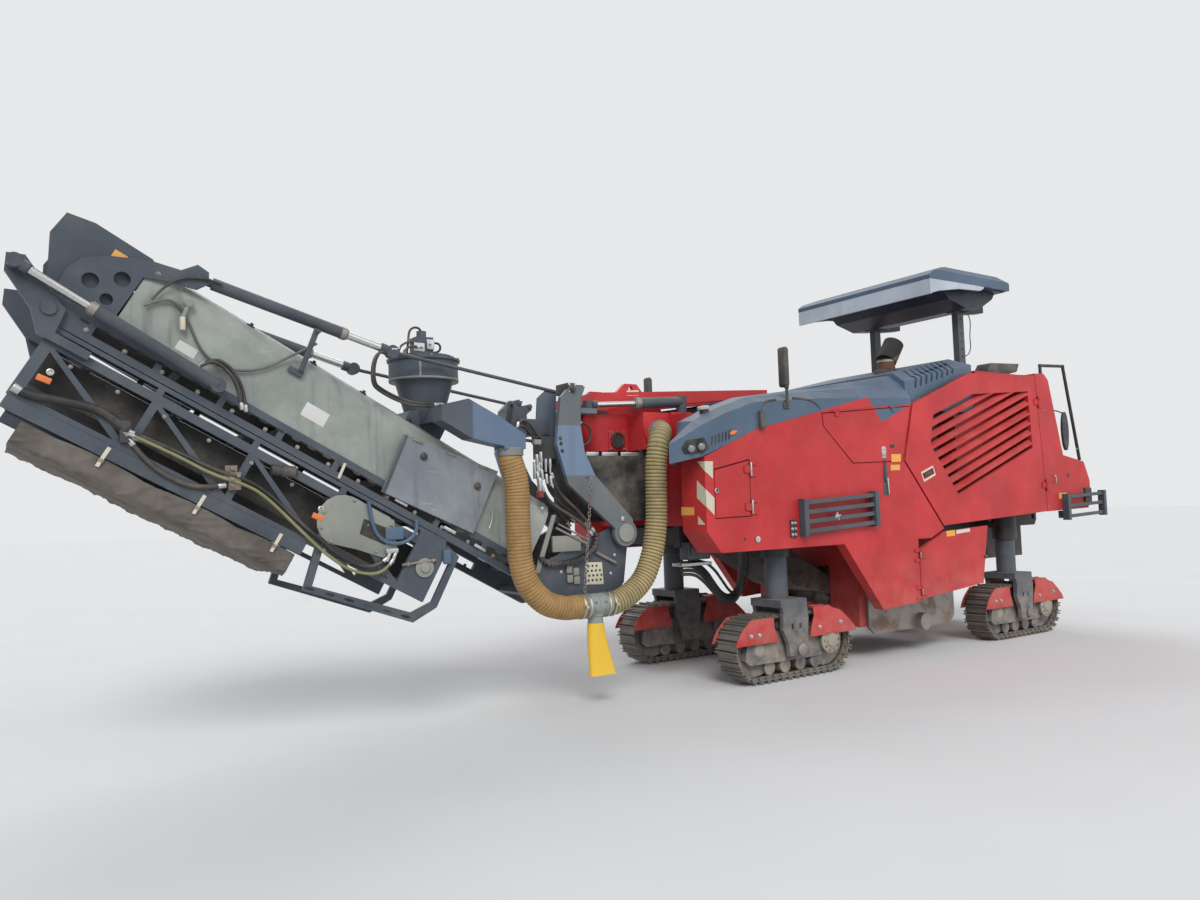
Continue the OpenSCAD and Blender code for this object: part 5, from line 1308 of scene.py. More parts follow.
def fixed_hoses():
    skins = {"black": line_rubber, "grey": line_grey, "green": line_green, "slate": slate_paint}
    for name, body, y, radius, skin, points in HOSE_LINES:
        places = side_points(points, y)
        bends = body == "mast_to_foot"
        hose = keep(pipe(places, radius, 16, 3, 5), name, None if bends else body, skins[skin],
                    60)
        if bends:
            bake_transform(hose)
    # Pressed ferrules at the ends of the pressure hoses
    ends = {"main_conveyor": [], "slewing_mast": [], "tip_conveyor": []}
    for name, body, y, radius, skin, points in HOSE_LINES:
        if body == "machine" or skin == "slate" or "cable" in name:
            continue
        places = side_points(points, y)
        first, last = ("slewing_mast", "main_conveyor") if body == "mast_to_foot" else (body, body)
        for owner, place, beyond in ((first, places[0], places[1]), (last, places[-1], places[-2])):
            way = (beyond - place).normalized()
            ends[owner].append(bar(place - way * 0.004, place + way * 0.04, radius + 0.0025, 16, 0.001))
    for body, ferrules in ends.items():
        keep(ferrules, "hose_ferrules_" + body, body, silver)


# Conveyor trim
DOWN_BELT = Vector((math.cos(INCLINE), 0, -math.sin(INCLINE)))
OVER_BELT = Vector((math.sin(INCLINE), 0, math.cos(INCLINE)))


def sign_on(name, body, node, x, z, wide, high, finish, side=-1):
    place, slope = beside(node, x, z, side)
    corners = [place + DOWN_BELT * dx * wide / 2 + OVER_BELT * dz * high / 2
               for dx, dz in ((-1, -1), (1, -1), (1, 1), (-1, 1))]
    decal(name, body, corners, slope, finish)


def conveyor_trim():
    sign_on("hood_sign", "main_conveyor", "conveyor_hood", -3.865, 2.13, 0.165, 0.095, pale_film)
    sign_on("hood_sign_small", "main_conveyor", "conveyor_hood", -4.63, 2.5, 0.12, 0.06, pale_film)
    sign_on("head_label", "main_conveyor", "hood_end", -4.985, 3.03, 0.075, 0.05, orange_film)
    for number, (x, z) in enumerate(((-3.14, 1.86), (-2.74, 1.65))):
        place, slope = beside("conveyor_door", x, z)
        knob = turned([(0.026, 0.0), (0.028, 0.003), (0.022, 0.006), (0.022, 0.016), (0.016, 0.02),
                       (0.006, 0.0205)], place, slope, 28)
        key = box_at(place + slope * 0.018, slope, (0.3, 0, 1), (0.026, 0.008, 0.007), 0.001)
        keep([knob, key], "conveyor_door_lock_%d" % (number + 1), "main_conveyor", line_rubber)
    # Folded edge, corner strip and lower lip of the inspection door
    edge = [on_conveyor(u, v, -0.4702)
            for u, v in ((1.873, -0.642), (1.915, -0.223), (1.895, -0.221), (1.853, -0.64))]
    keep(plate(edge, (0, -0.006, 0), 0.002), "conveyor_door_edge", "main_conveyor", cylinder_paint)
    lip = [on_conveyor(1.145 + 0.09 * math.cos(a), -0.5 + 0.15 * math.sin(a), -0.4708)
           for a in (math.radians(90 + 18 * i) for i in range(6))]
    keep(pipe(lip, 0.004, 10, 3), "conveyor_door_lip", "main_conveyor", silver)
    hinge = [bar(on_conveyor(u, -0.118 - 0.161 * (u - 1.182), -0.474),
                 on_conveyor(u + 0.07, -0.118 - 0.161 * (u - 1.112), -0.474), 0.008, 14, 0.001)
             for u in (1.26, 1.52, 1.78)]
    keep(hinge, "conveyor_door_hinges", "main_conveyor", worn)
    # Toggles along the hood's shoulder
    toggles = []
    for x, z in ((-4.24, 2.69), (-3.84, 2.48), (-3.5, 2.3), (-3.17, 2.12)):
        place, slope = beside("conveyor_hood", x, z)
        toggles.append(box_at(place, slope, DOWN_BELT, (0.05, 0.022, 0.01), 0.003))
        toggles.append(box_at(place + slope * 0.01, slope, DOWN_BELT, (0.022, 0.016, 0.014), 0.004))
    keep(toggles, "hood_toggles", "main_conveyor", line_rubber)
    # Prop lever on its foot
    foot = [box_at(at(-3.99, -0.4405, 2.4), LEFT, DOWN_BELT, (0.1, 0.04, 0.012), 0.003)]
    foot.append(panel([(-3.975, 2.405), (-3.945, 2.395), (-3.835, 2.68), (-3.87, 2.69)], -0.445, -0.022,
                      0.004))
    foot.append(rod((-3.85, -0.485, 2.665), (-3.85, -0.43, 2.665), 0.014, 20, 0.002))
    keep(foot, "hood_prop", "main_conveyor", cylinder_paint)
    stub = turned([(0.026, 0.0), (0.028, 0.004), (0.028, 0.03), (0.02, 0.036), (0.006, 0.037)],
                  at(-4.62, -0.4402, 2.775), LEFT, 28)
    arm = rod((-4.655, -0.458, 2.68), (-4.62, -0.458, 2.775), 0.014, 20, 0.002)
    tip = rod((-4.655, -0.458, 2.61), (-4.655, -0.458, 2.69), 0.017, 20, 0.003)
    keep([stub, arm], "sensor_arm", "main_conveyor", dusty_grey)
    keep(tip, "sensor_head", "main_conveyor", cream_film)
    # Rail fittings: pale tie, clamps and the row of slots in the lower rail
    tie = panel([(-3.73, 1.72), (-3.712, 1.714), (-3.668, 1.812), (-3.686, 1.818)], -0.4415, -0.002, 0.0005,
                1)
    keep(tie, "rail_tie", "main_conveyor", cream_film)
    clamps = []
    for x, z in ((-3.3, 1.55), (-2.95, 1.35), (-2.72, 1.215)):
        clamps.append(box_at(at(x, -0.441, z), LEFT, DOWN_BELT, (0.1, 0.022, 0.014), 0.003))
    keep(clamps, "door_rail_clamps", "main_conveyor", silver)
    # Painted shade: the rail's slots are flat near-black ovals.
    slots = []
    for i in range(30):
        u = 0.62 + i * 0.112
        slots.append(plate([on_conveyor(u + 0.034 * math.cos(a) * 0.9, -0.612 + 0.009 * math.sin(a),
                                        -0.4402) for a in turns(16)], (0, -0.0008, 0), 0))
    keep(slots, "frame_slots", "main_conveyor", black_and_hole_shade)
    spots = [on_conveyor(0.7 + i * 0.224, -0.652, -0.4402) for i in range(15)]
    bolts("frame_bolts", "main_conveyor", spots, LEFT, worn, 0.01)
    bolts("frame_bolts_right", "main_conveyor", [Vector((p.x, -p.y, p.z)) for p in spots], (0, 1, 0), worn,
          0.01)


def fan_trim():
    centre = Vector((-2.972, -0.1))
    rim = [at(centre.x + 0.257 * math.cos(a), centre.y + 0.257 * math.sin(a), 2.588) for a in turns(18)]
    bolts("fan_rim_bolts", "main_conveyor", rim, UP, worn, 0.008)
    ring = turned([(0.2503, 0.0), (0.2535, 0.002), (0.2535, 0.012), (0.2503, 0.014)],
                  at(centre.x, centre.y, 2.43), UP, 72)
    seam = [plate([at(centre.x + 0.2507 * math.cos(a + d), centre.y + 0.2507 * math.sin(a + d), z)
                   for d, z in ((-0.03, 2.43), (0.03, 2.43), (0.03, 2.57), (-0.03, 2.57))],
                  (0.003 * math.cos(a), 0.003 * math.sin(a), 0), 0.0008, 1)
            for a in (math.radians(-118), math.radians(150))]
    keep([ring] + seam, "fan_bands", "main_conveyor", dusty_grey)
    low, high = Vector((-3.052, -0.17, 2.613)), Vector((-2.922, -0.04, 2.753))
    valve = [block((low.x - 0.022, low.y - 0.01, 2.64), (low.x + 0.06, low.y, 2.705), 0.004),
             block((low.x + 0.075, low.y - 0.014, 2.66), (high.x + 0.004, low.y, 2.735), 0.004)]
    valve += [rod((x, low.y - 0.01, z), (x, low.y - 0.034, z), 0.011, 16, 0.002)
              for x, z in ((low.x, 2.672), (low.x + 0.036, 2.672), (low.x + 0.1, 2.7))]
    valve += [rod((low.x + 0.065, -0.105, 2.75), (low.x + 0.065, -0.105, 2.782), 0.018, 18, 0.003)]
    keep(valve, "fan_valve", "main_conveyor", silver)
    loops = [pipe([at(x, y, z) for x, y, z in points], 0.0085, 12, 3, 5)
             for points in (((-2.987, -0.105, 2.78), (-2.99, -0.11, 2.815), (-3.04, -0.13, 2.83),
                             (-3.1, -0.15, 2.8), (-3.112, -0.16, 2.7), (-3.14, -0.2, 2.62)),
                            ((-3.052, -0.15, 2.7), (-3.11, -0.18, 2.715), (-3.2, -0.23, 2.66),
                             (-3.225, -0.25, 2.596)),
                            ((-3.06, -0.19, 2.672), (-3.12, -0.215, 2.67), (-3.18, -0.255, 2.625),
                             (-3.19, -0.27, 2.592)),
                            ((-2.922, -0.1, 2.715), (-2.865, -0.11, 2.735), (-2.835, -0.115, 2.695),
                             (-2.862, -0.11, 2.65), (-2.922, -0.1, 2.655)))]
    keep(loops, "fan_motor_hoses", "main_conveyor", line_rubber, 60)
    clip = turned([(0.011, -0.012), (0.016, -0.01), (0.016, 0.01), (0.011, 0.012)],
                  at(-2.985, -0.432, 2.225), (1, 0, 0), 20)
    keep(clip, "duct_hose_clip", "main_conveyor", silver)


# Folding section's trim
def marker(name, body, x, z, y=-0.4405):
    """Orange side marker lens. The round bolt above it is made in tip_trim."""
    lens = box_at(at(x, y, z), LEFT, (math.cos(INCLINE * 0.8), 0, -math.sin(INCLINE * 0.8)),
                  (0.075, 0.036, 0.01), 0.004)
    keep(lens, name, body, amber, 50)


def tip_trim():
    marks = (((-5.36, 2.28), (-5.33, 2.32)), ((-3.86, 1.47), (-3.84, 1.52)))
    for number, ((x, z), (bolt_x, bolt_z)) in enumerate(marks):
        key = number + 1
        marker("tip_marker_%d" % key, "tip_conveyor", x, z)
        eye = turned([(0.01, 0.0), (0.02, 0.002), (0.02, 0.01), (0.013, 0.013), (0.011, 0.006)],
                     at(bolt_x, -0.4402, bolt_z), LEFT, 28)
        keep(eye, "tip_marker_socket_%d" % key, "tip_conveyor", silver)
    # Drive plate with a rounded end, its window and bolts
    round_end = [(-3.7 + 0.17 * math.cos(a), 1.44 + 0.17 * math.sin(a))
                 for a in (math.radians(60 + 22 * i) for i in range(9))]
    outline = [(-3.52, 1.53)] + round_end + [(-3.61, 1.25), (-3.42, 1.18), (-3.33, 1.22), (-3.35, 1.43)]
    keep(panel(outline, -0.4405, -0.008, 0.002), "tip_drive_plate", "tip_conveyor", dusty_grey)
    # Painted shade: the window is a flat near-black panel in the plate.
    window = [(-3.56, 1.45), (-3.4, 1.38), (-3.42, 1.27), (-3.59, 1.35)]
    keep(panel(window, -0.4487, -0.001, 0), "tip_drive_window", "tip_conveyor", black_and_hole_shade)
    spots = [(-3.82, 1.5), (-3.84, 1.4), (-3.78, 1.31), (-3.62, 1.57), (-3.48, 1.23), (-3.37, 1.4)]
    bolts("tip_drive_bolts", "tip_conveyor", side_points(spots, -0.4485), LEFT, worn, 0.009)
    box = block((-3.42, -0.47, 1.3), (-3.29, -0.449, 1.385), 0.01, 3)
    keep(box, "tip_valve_cover", "tip_conveyor", slate_paint)
    # Motor across the frame, and the valve block by it
    motor = turned([(0.028, 0.0), (0.036, 0.006), (0.036, 0.05), (0.031, 0.054), (0.031, 0.066),
                    (0.038, 0.07), (0.038, 0.15), (0.026, 0.16), (0.012, 0.162)], at(-4.15, -0.44, 1.775),
                   (1, 0, -0.12), 28)
    keep(motor, "tip_motor", "tip_conveyor", line_rubber)
    valves = [block((-4.4, -0.47, 1.65), (-4.33, -0.44, 1.76), 0.004),
              block((-4.42, -0.462, 1.76), (-4.35, -0.44, 1.8), 0.004)]
    valves += [rod((x, -0.47, z), (x, -0.492, z), 0.01, 14, 0.002)
               for x, z in ((-4.385, 1.675), (-4.385, 1.715), (-4.348, 1.735), (-4.385, 1.78))]
    keep(valves, "tip_valves", "tip_conveyor", worn)
    corner = [block((-4.99, -0.47, 1.93), (-4.93, -0.44, 2.06), 0.006),
              rod((-4.96, -0.495, 2.01), (-4.96, -0.44, 2.01), 0.022, 20, 0.003)]
    keep(corner, "tip_hose_anchor", "tip_conveyor", line_rubber)
    ends = [rod((x, -0.466, z), (x + 0.03, -0.466, z + 0.075), 0.013, 16, 0.002)
            for x, z in ((-3.415, 1.16), (-3.378, 1.15))]
    ends += [block((-3.42, -0.48, 1.215), (-3.335, -0.452, 1.245), 0.004)]
    keep(ends, "tip_hose_fittings", "tip_conveyor", silver)
    # End drum: hub, cap and take-up screw
    hub = turned([(0.02, 0.0), (0.06, 0.001), (0.066, 0.006), (0.066, 0.012), (0.04, 0.016), (0.03, 0.03),
                  (0.012, 0.032)], on_tip(2.69, 0.3, -0.4385), LEFT, 36)
    keep(hub, "end_drum_hub", "tip_conveyor", dusty_grey)
    cap = block((-3.005, -0.47, 1.115), (-2.945, -0.4385, 1.215), 0.012, 3)
    keep(cap, "end_drum_cap", "tip_conveyor", slate_paint)
    screw = rod((-3.3, -0.452, 1.13), (-3.06, -0.452, 1.15), 0.009, 14)
    nuts = [rod((x, -0.452, z), (x + 0.016, -0.452, z + 0.001), 0.016, 6)
            for x, z in ((-3.27, 1.132), (-3.09, 1.147))]
    keep([screw] + nuts, "take_up_screw", "tip_conveyor", worn)
    # Painted shade: the slots are flat near-black ovals on both sides of the bow.
    slots = []
    for side in (-1, 1):
        for i in range(6):
            t, h = 2.05 + i * 0.135, 0.752 - i * 0.0215
            slots.append(plate([on_tip(t + 0.036 * math.cos(a),
                                       h + 0.01 * math.sin(a) - 0.006 * math.cos(a), side * 0.4384)
                                for a in turns(16)], (0, side * 0.0008, 0), 0))
    keep(slots, "bow_slots", "tip_conveyor", black_and_hole_shade)
    spots = [on_tip(t, 0.498, -0.4402) for t in (2.02, 2.2, 2.38)]
    spots += [on_tip(t, 0.225, -0.4402) for t in (0.25, 0.52, 0.8, 1.08, 1.36, 1.64, 1.92, 2.2)]
    bolts("tip_frame_bolts", "tip_conveyor", spots, LEFT, worn, 0.009)


# Mast trim
def mast_trim():
    lugs = [panel([(-2.44, 2.02), (-2.4, 2.28), (-2.36, 2.29), (-2.34, 2.24), (-2.3, 2.25), (-2.265, 2.26),
                   (-2.255, 2.215), (-2.3, 2.18), (-2.3, 2.02)], y, 0.022, 0.003) for y in (-0.43, -0.33)]
    lugs += [rod((x, -0.44, z), (x, -0.29, z), 0.018, 20, 0.002)
             for x, z in ((-2.365, 2.262), (-2.275, 2.238))]
    lugs += [block((-2.3, -0.412, 2.03), (-2.1, -0.372, 2.15), 0.006)]
    keep(lugs, "mast_stay_lugs", "slewing_mast", cylinder_paint)
    back = panel([(-2.215, 2.0), (-2.19, 2.31), (-2.12, 2.37), (-2.02, 2.37), (-2.04, 2.0)], -0.4, 0.016,
                 0.003)
    keep(back, "mast_back_plate", "slewing_mast", dark_slate)
    beam = block((-2.26, -0.462, 1.955), (-2.085, -0.42, 1.992), 0.004)
    keep(beam, "valve_beam", "slewing_mast", dusty_grey)
    # Head fittings over the arm
    head = [block((-1.985, -0.505, 2.34), (-1.9, -0.33, 2.425), 0.006),
            block((-1.9, -0.5, 2.36), (-1.835, -0.36, 2.412), 0.005)]
    head += [rod((-1.945, -0.53, 2.37), (-1.945, -0.3, 2.37), 0.022, 24, 0.003)]
    keep(head, "mast_head_block", "slewing_mast", line_rubber)
    bolts("mast_head_bolts", "slewing_mast",
          side_points(((-1.97, 2.412), (-1.915, 2.412), (-1.97, 2.356)), -0.5055), LEFT, silver, 0.008)
    # Valve sections with their fittings
    pale_parts = []
    for i in range(4):
        x = -2.24 + i * 0.037
        z = (1.88, 1.9, 1.87, 1.855)[i]
        pale_parts.append(rod((x, -0.455, z - 0.075), (x, -0.455, z), 0.013, 16, 0.002))
        pale_parts.append(rod((x, -0.455, z - 0.12), (x, -0.455, z - 0.075), 0.009, 12, 0.001))
        pale_parts.append(rod((x + 0.004, -0.462, z - 0.21), (x, -0.458, z - 0.135), 0.012, 16, 0.002))
    pale_parts.append(block((-2.262, -0.452, 1.7), (-2.19, -0.425, 1.83), 0.005))
    keep(pale_parts, "mast_valve_fittings", "slewing_mast", silver)
    cap = turned([(0.024, 0.0), (0.03, 0.004), (0.03, 0.04), (0.022, 0.048), (0.008, 0.049)],
                 at(-2.225, -0.464, 1.56), UP, 24)
    keep(cap, "mast_filter_cap", "slewing_mast", deep_red)
    keep(rod((-2.225, -0.462, 1.606), (-2.225, -0.462, 1.705), 0.02, 20, 0.002), "mast_filter_bowl",
         "slewing_mast", silver)
    # Pin ends at the luffing pivot
    bright = turned([(0.012, 0.0), (0.02, 0.002), (0.02, 0.008), (0.012, 0.012), (0.004, 0.0125)],
                    at(-1.52, -0.5105, 1.38), LEFT, 24)
    keep(bright, "mast_lock_bolt", "slewing_mast", silver)
    pin = turned([(0.02, 0.0), (0.048, 0.002), (0.048, 0.01), (0.036, 0.014), (0.012, 0.015)],
                 at(-1.49, -0.511, 1.27), LEFT, 36)
    ring = turned([(0.058, 0.0), (0.072, 0.001), (0.072, 0.012), (0.058, 0.013)], at(-1.49, -0.511, 1.27),
                  LEFT, 40)
    keep([pin, ring], "luff_pin_caps", "slewing_mast", dusty_grey)
    dots = side_points(((-2.065, 2.0), (-2.06, 1.96), (-2.05, 1.905)), -0.5102)
    bolts("mast_arm_bolts", "slewing_mast", dots, LEFT, line_rubber, 0.01)


def foot_trim():
    """Energy chain, brace, boxes and the drilled pale plate at the conveyor's foot."""
    path = resampled([at(*p) for p in ((-2.23, -0.455, 1.105), (-2.16, -0.455, 1.07),
                                       (-2.02, -0.455, 1.065), (-1.9, -0.455, 1.085), (-1.8, -0.455, 1.14),
                                       (-1.745, -0.455, 1.215), (-1.735, -0.455, 1.3))], 0.034)
    link = joined([slab((-0.014, -0.028, -0.02), (0.014, 0.028, 0.02), 0.004),
                   slab((-0.017, -0.03, -0.012), (0.017, -0.022, 0.012), 0.003)])
    keep(copies(link,
                [facing(p, UP if abs((q - p).normalized().z) < 0.7 else (1, 0, 0), q - p)
                 for p, q in zip(path, path[1:])]), "energy_chain", "main_conveyor", line_rubber)
    brace = panel([(-2.12, 1.43), (-2.085, 1.425), (-2.24, 1.0), (-2.28, 1.01)], -0.4415, -0.012, 0.003)
    keep(brace, "foot_brace", "main_conveyor", dusty_grey)
    pierced = panel([(-1.832, 0.89), (-1.672, 0.882), (-1.682, 1.052), (-1.835, 1.06)], -0.4415, -0.006,
                    0.002)
    keep(pierced, "pierced_plate", "main_conveyor", cream_film)
    # Painted shade: the holes are thin near-black discs on the plate.
    holes = []
    for i in range(4):
        for j in range(4 if i < 3 else 3):
            x = -1.812 + i * 0.037 - j * 0.002 + (0.01 if j % 2 else 0)
            z = 0.92 + j * 0.036
            holes.append(rod((x, -0.447, z), (x, -0.4488, z), 0.0095, 14))
    keep(holes, "pierced_plate_holes", "main_conveyor", black_and_hole_shade)
    boxes = [block((x, -0.462, z), (x + 0.05, -0.441, z + 0.06), 0.006)
             for x, z in ((-2.01, 0.985), (-1.95, 0.965), (-2.005, 0.915), (-1.945, 0.9))]
    boxes += [block((-2.13, -0.468, 1.15), (-1.88, -0.441, 1.27), 0.008)]
    keep(boxes, "foot_terminal_boxes", "main_conveyor", dusty_grey)
    rods = [rod((-2.1, -0.47, 1.33), (-1.83, -0.47, 1.2), 0.01, 14),
            rod((-2.08, -0.47, 1.36), (-1.81, -0.47, 1.225), 0.007, 14),
            rod((-1.74, -0.455, 1.13), (-1.56, -0.455, 1.04), 0.014, 14)]
    keep(rods, "foot_rods", "main_conveyor", worn)
    spots = side_points(((-2.2, 1.48), (-2.05, 1.0), (-1.64, 1.08), (-1.6, 0.96), (-1.56, 1.1)), -0.4412)
    bolts("foot_bolts", "main_conveyor", spots, LEFT, silver, 0.009)


# Console, nose and cab trim
def console_trim():
    place, _ = seen_on(616.6, 440.6, "front_console")
    flange = box_at(place, LEFT, (1, 0, 0), (0.165, 0.165, 0.01), 0.004)
    keep(flange, "console_port_plate", "machine", red_paint)
    port = turned([(0.062, 0.0), (0.068, 0.003), (0.068, 0.014), (0.056, 0.018), (0.05, 0.01),
                   (0.03, 0.008)], place - Vector((0, 0.01, 0)), LEFT, 40)
    keep(port, "console_port", "machine", line_rubber)
    bolts("console_port_bolts", "machine",
          [place + Vector((dx, -0.0105, dz)) for dx in (-0.07, 0.07) for dz in (-0.07, 0.07)], LEFT, worn,
          0.007)
    strips = []
    for low, high in ((-1.815, -1.7), (-1.67, -1.52), (-1.49, -1.31)):
        strips.append(block((low, -0.478, 1.872), (high, -0.47, 1.902), 0.003))
    keep(strips, "curtain_clamps", "machine", silver)
    decal("lug_label", "machine",
          [seen_on(*p, "front_console")[0]
           for p in ((626.5, 390.6), (638.5, 390.2), (638.8, 395.4), (626.8, 395.8))], LEFT, cream_film)


def front_fittings():
    """Step box and bracket below the front of the body."""
    parts = [block((-0.88, -0.52, 1.02), (-0.64, -0.4, 1.165), 0.012, 3),
             block((-0.86, -0.54, 1.06), (-0.78, -0.52, 1.13), 0.01, 3)]
    keep(parts, "front_step_box", "machine", cylinder_paint)
    keep(block((-0.96, -0.53, 0.972), (-0.64, -0.4, 0.998), 0.004), "front_step_plate", "machine", silver)


def mirror_legs():
    for side, key in SIDES:
        legs = []
        for points in (((775.5, 400.0), (768.0, 400.6), (762.5, 403.5), (760.3, 414.0)),
                       ((793.0, 398.0), (805.0, 399.0), (814.5, 402.5), (822.0, 411.5))):
            places = [seen_on_wall(*p, -0.945) for p in points]
            places = [Vector((p.x, p.y * -side, p.z)) for p in places]
            places.append(places[-1] + Vector((0.004, -side * 0.05, -0.02)))
            legs.append(pipe(places, 0.011, 14, 3))
        keep(legs, "mirror_legs_" + key, "machine", plastic)


def cushion(low, high, share=0.32, cuts=9):
    """A crowned cushion: a cube is divided and drawn part of the way to a ball."""
    deselect()
    low, high = Vector(low), Vector(high)
    bpy.ops.mesh.primitive_cube_add(size=2, location=(0, 0, 0))
    obj = bpy.context.object
    edit_all()
    bpy.ops.mesh.subdivide(number_cuts=cuts)
    bpy.ops.object.mode_set(mode="OBJECT")
    half, middle = (high - low) / 2, (high + low) / 2
    for vertex in obj.data.vertices:
        a, b, c = vertex.co
        ball = Vector((a * math.sqrt(1 - b * b / 2 - c * c / 2 + b * b * c * c / 3),
                       b * math.sqrt(1 - c * c / 2 - a * a / 2 + c * c * a * a / 3),
                       c * math.sqrt(1 - a * a / 2 - b * b / 2 + a * a * b * b / 3)))
        spot = vertex.co.lerp(ball, share)
        pucker = 0.02 * noise.noise(Vector((a * 2.3, b * 2.3, c * 2.3)) + middle)
        vertex.co = middle + Vector((spot.x * half.x, spot.y * half.y, spot.z * half.z)) * (1 + pucker * 0.3)
    return obj


def seats():
    for side, key in SIDES:
        near, far = sorted((side * 0.112, side * 0.578))
        seat = keep(cushion(at(3.035, near, 2.085), at(3.525, far, 2.262)), "seat_cushion_" + key,
                    "machine", seat_cover, 60)
        back = keep(cushion(at(3.478, near, 2.12), at(3.628, far, 2.7)), "seat_back_" + key, "machine",
                    seat_cover, 60)


def exhaust_trim():
    foot, _ = above("vent_cowl", 1.72, -0.4)
    base = turned([(0.0865, -0.03), (0.135, -0.028), (0.135, 0.04), (0.112, 0.054), (0.0865, 0.056)],
                  at(1.875, -0.4, foot.z), UP, 40)
    keep(base, "exhaust_collar", "machine", line_rubber)
    clamp = ring_round(at(1.875, -0.4, 2.845), UP, 0.0855, 0.022, 0.005)
    keep(clamp, "exhaust_clamp", "machine", worn)


def rear_trim():
    box = block((4.42, -0.972, 1.35), (4.55, -0.95, 1.52), 0.008, 3)
    keep(box, "rear_lamp_box", "machine", plastic)
    for side, key in SIDES:
        spots = side_points(((3.7, 1.33), (3.7, 1.9), (3.72, 2.35), (4.38, 1.48), (4.33, 1.95)),
                            side * 0.9502)
        bolts("rear_panel_bolts_" + key, "machine", spots, (0, side, 0), worn, 0.008)


def canopy_trim():
    """Holes down the posts, the thin cable hung behind one of them, and the console's dark lid."""
    for side, key in SIDES:
        # Painted shade: the holes down the posts are thin near-black discs.
        holes = [rod((2.9, side * 0.5752, 2.86 + i * 0.08), (2.9, side * 0.5762, 2.86 + i * 0.08), 0.013,
                     20) for i in range(7)]
        keep(holes, "canopy_post_holes_" + key, "machine", black_and_hole_shade)
    cable = pipe(side_points([(3.06, 3.43), (3.115, 3.395), (3.125, 3.3), (3.098, 3.18), (3.11, 3.05),
                              (3.05, 2.96), (2.945, 2.95)], -0.54), 0.005, 12, 3, 6)
    keep(cable, "canopy_cable", "machine", line_rubber, 60)
    lid = panel([(2.96, 2.737), (3.06, 2.85), (3.57, 2.872), (3.52, 2.78), (3.3, 2.737)], -0.8, 0.17, 0.01, 3)
    keep(lid, "console_lid", "machine", plastic)


def mirrors():
    """Rounded mirror housings on their stalks, and the oval mirror by the rear steps."""
    for side, key in SIDES:
        near, far = sorted((side * 0.892, side * 0.984))
        shell = block((-0.158, near, 2.421), (-0.106, far, 2.759), 0.022, 4)
        face = block((-0.104, near + 0.012, 2.44), (-0.1005, far - 0.012, 2.742), 0.0015, 1)
        stalk = rod((-0.13, side * 0.964, 2.262), (-0.13, side * 0.964, 2.43), 0.013, 20, 0.001)
        foot_near, foot_far = sorted((side * 0.9505, side * 0.962))
        foot = block((-0.165, foot_near, 2.24), (-0.095, foot_far, 2.29), 0.005, 3)
        knuckle = turned([(0.014, 0.0), (0.019, 0.003), (0.019, 0.02), (0.013, 0.024)],
                         at(-0.13, side * 0.964, 2.405), UP, 24)
        keep([shell, stalk, foot, knuckle], "front_mirror_" + key, "machine", plastic,
             replaces=("mirrors",) if side < 0 else ())
        keep(face, "front_mirror_glass_" + key, "machine", mirror_glass)
    oval = [at(4.225 + 0.062 * math.cos(a), -0.905, 2.15 + 0.215 * math.sin(a)) for a in turns(32)]
    keep(plate(oval, (0, 0.032, 0), 0.01, 3), "rear_mirror", "machine", plastic, 50)
    bracket = pipe([at(3.93, -0.895, 2.375), at(4.06, -0.895, 2.372), at(4.19, -0.89, 2.35),
                    at(4.215, -0.89, 2.32)], 0.007, 12, 3)
    keep(bracket, "rear_mirror_bracket", "machine", plastic)


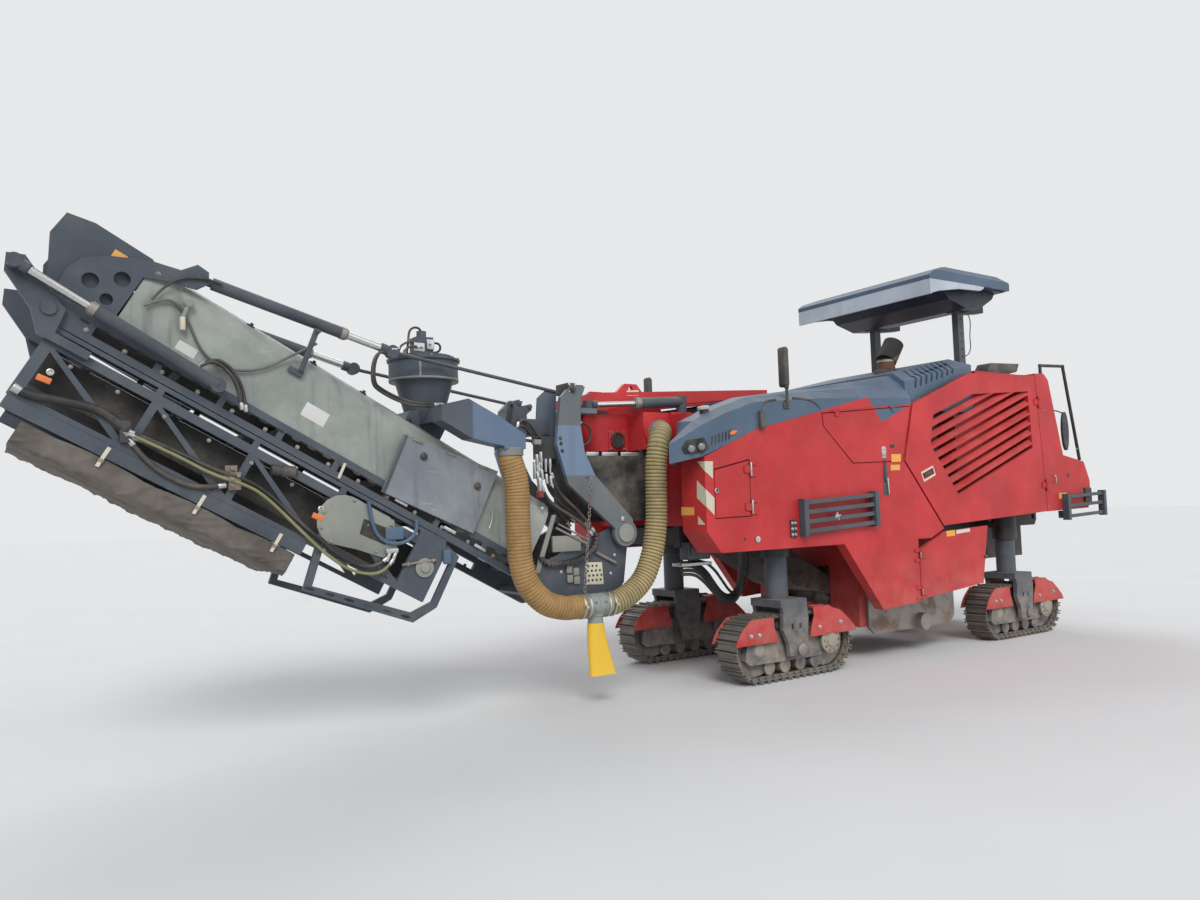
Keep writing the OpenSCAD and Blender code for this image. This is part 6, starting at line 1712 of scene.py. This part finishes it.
# Floor, light and camera
def stage_and_light():
    floor_paint = Recipe("pale_floor")
    cloudy = floor_paint.noise(0.8, 4.0, 0.5)
    floor_paint.finish(floor_paint.mix(cloudy, (0.6, 0.6, 0.595), (0.66, 0.66, 0.655)), 0.9)
    bpy.ops.mesh.primitive_plane_add(size=160, location=(0, 0, -0.002))
    floor = bpy.context.object
    floor.name = "floor"
    floor.data.materials.append(floor_paint.material)
    world = bpy.data.worlds.new("studio")
    bpy.context.scene.world = world
    world.use_nodes = True
    tree = world.node_tree
    ground = tree.nodes["Background"]
    ground.inputs["Color"].default_value = (0.8, 0.84, 0.9, 1)
    ground.inputs["Strength"].default_value = 0.62
    backdrop = tree.nodes.new("ShaderNodeBackground")
    backdrop.inputs["Color"].default_value = (0.8, 0.81, 0.82, 1)
    seen = tree.nodes.new("ShaderNodeLightPath")
    mixed = tree.nodes.new("ShaderNodeMixShader")
    rays, clear_rays = tree.nodes.new("ShaderNodeMath"), tree.nodes.new("ShaderNodeMath")
    for total in (rays, clear_rays):
        total.operation = "ADD"
        total.use_clamp = True
    for giver, output, taker, entry in (
        (seen, "Is Camera Ray", rays, 0),
        (seen, "Is Glossy Ray", rays, 1),
        (rays, 0, clear_rays, 0),
        (seen, "Is Transmission Ray", clear_rays, 1),
        (clear_rays, 0, mixed, 0),
        (ground, 0, mixed, 1),
        (backdrop, 0, mixed, 2),
        (mixed, 0, tree.nodes["World Output"], "Surface"),
    ):
        tree.links.new(giver.outputs[output], taker.inputs[entry])
    for name, place, spread, power in (
        ("key", (-5.0, -9.0, 9.0), 28, 1.9),
        ("fill", (8.0, -9.0, 5.0), 50, 0.45),
        ("rim", (2.0, 9.0, 9.0), 40, 0.9),
    ):
        lamp = bpy.data.lights.new(name, "SUN")
        lamp.energy, lamp.angle = power, math.radians(spread)
        holder = bpy.data.objects.new(name, lamp)
        bpy.context.scene.collection.objects.link(holder)
        holder.location = place
        holder.rotation_euler = (-Vector(place)).to_track_quat("-Z", "Y").to_euler()


def camera_at_the_photo():
    right, up, ahead = camera_axes()
    lens = bpy.data.cameras.new("camera")
    lens.sensor_width = 36.0
    lens.lens = FOCAL_LENGTH / PICTURE_WIDE * 36
    lens.clip_end = 400
    camera = bpy.data.objects.new("camera", lens)
    bpy.context.scene.collection.objects.link(camera)
    camera.matrix_world = Matrix.Translation(CAMERA_PLACE) @ Matrix((right, up, -ahead)).transposed().to_4x4()
    bpy.context.scene.camera = camera


stage_and_light()
camera_at_the_photo()
suction_hoses()
tracks()
chevrons()
wall_labels()
tool_door_furniture()
for side, key in SIDES:
    hatch_catch(side, key)
    door_furniture(side, key)
    step_rail_fittings(side, key)
    nose_trim(side, key)
fillers()
mirror_legs()
tarpaulin_cover()
cylinders()
suction_tee()
fixed_hoses()
conveyor_trim()
fan_trim()
tip_trim()
mast_trim()
foot_trim()
console_trim()
front_fittings()
seats()
exhaust_trim()
rear_trim()
canopy_trim()
mirrors()
bpy.context.scene.view_settings.view_transform = "Standard"
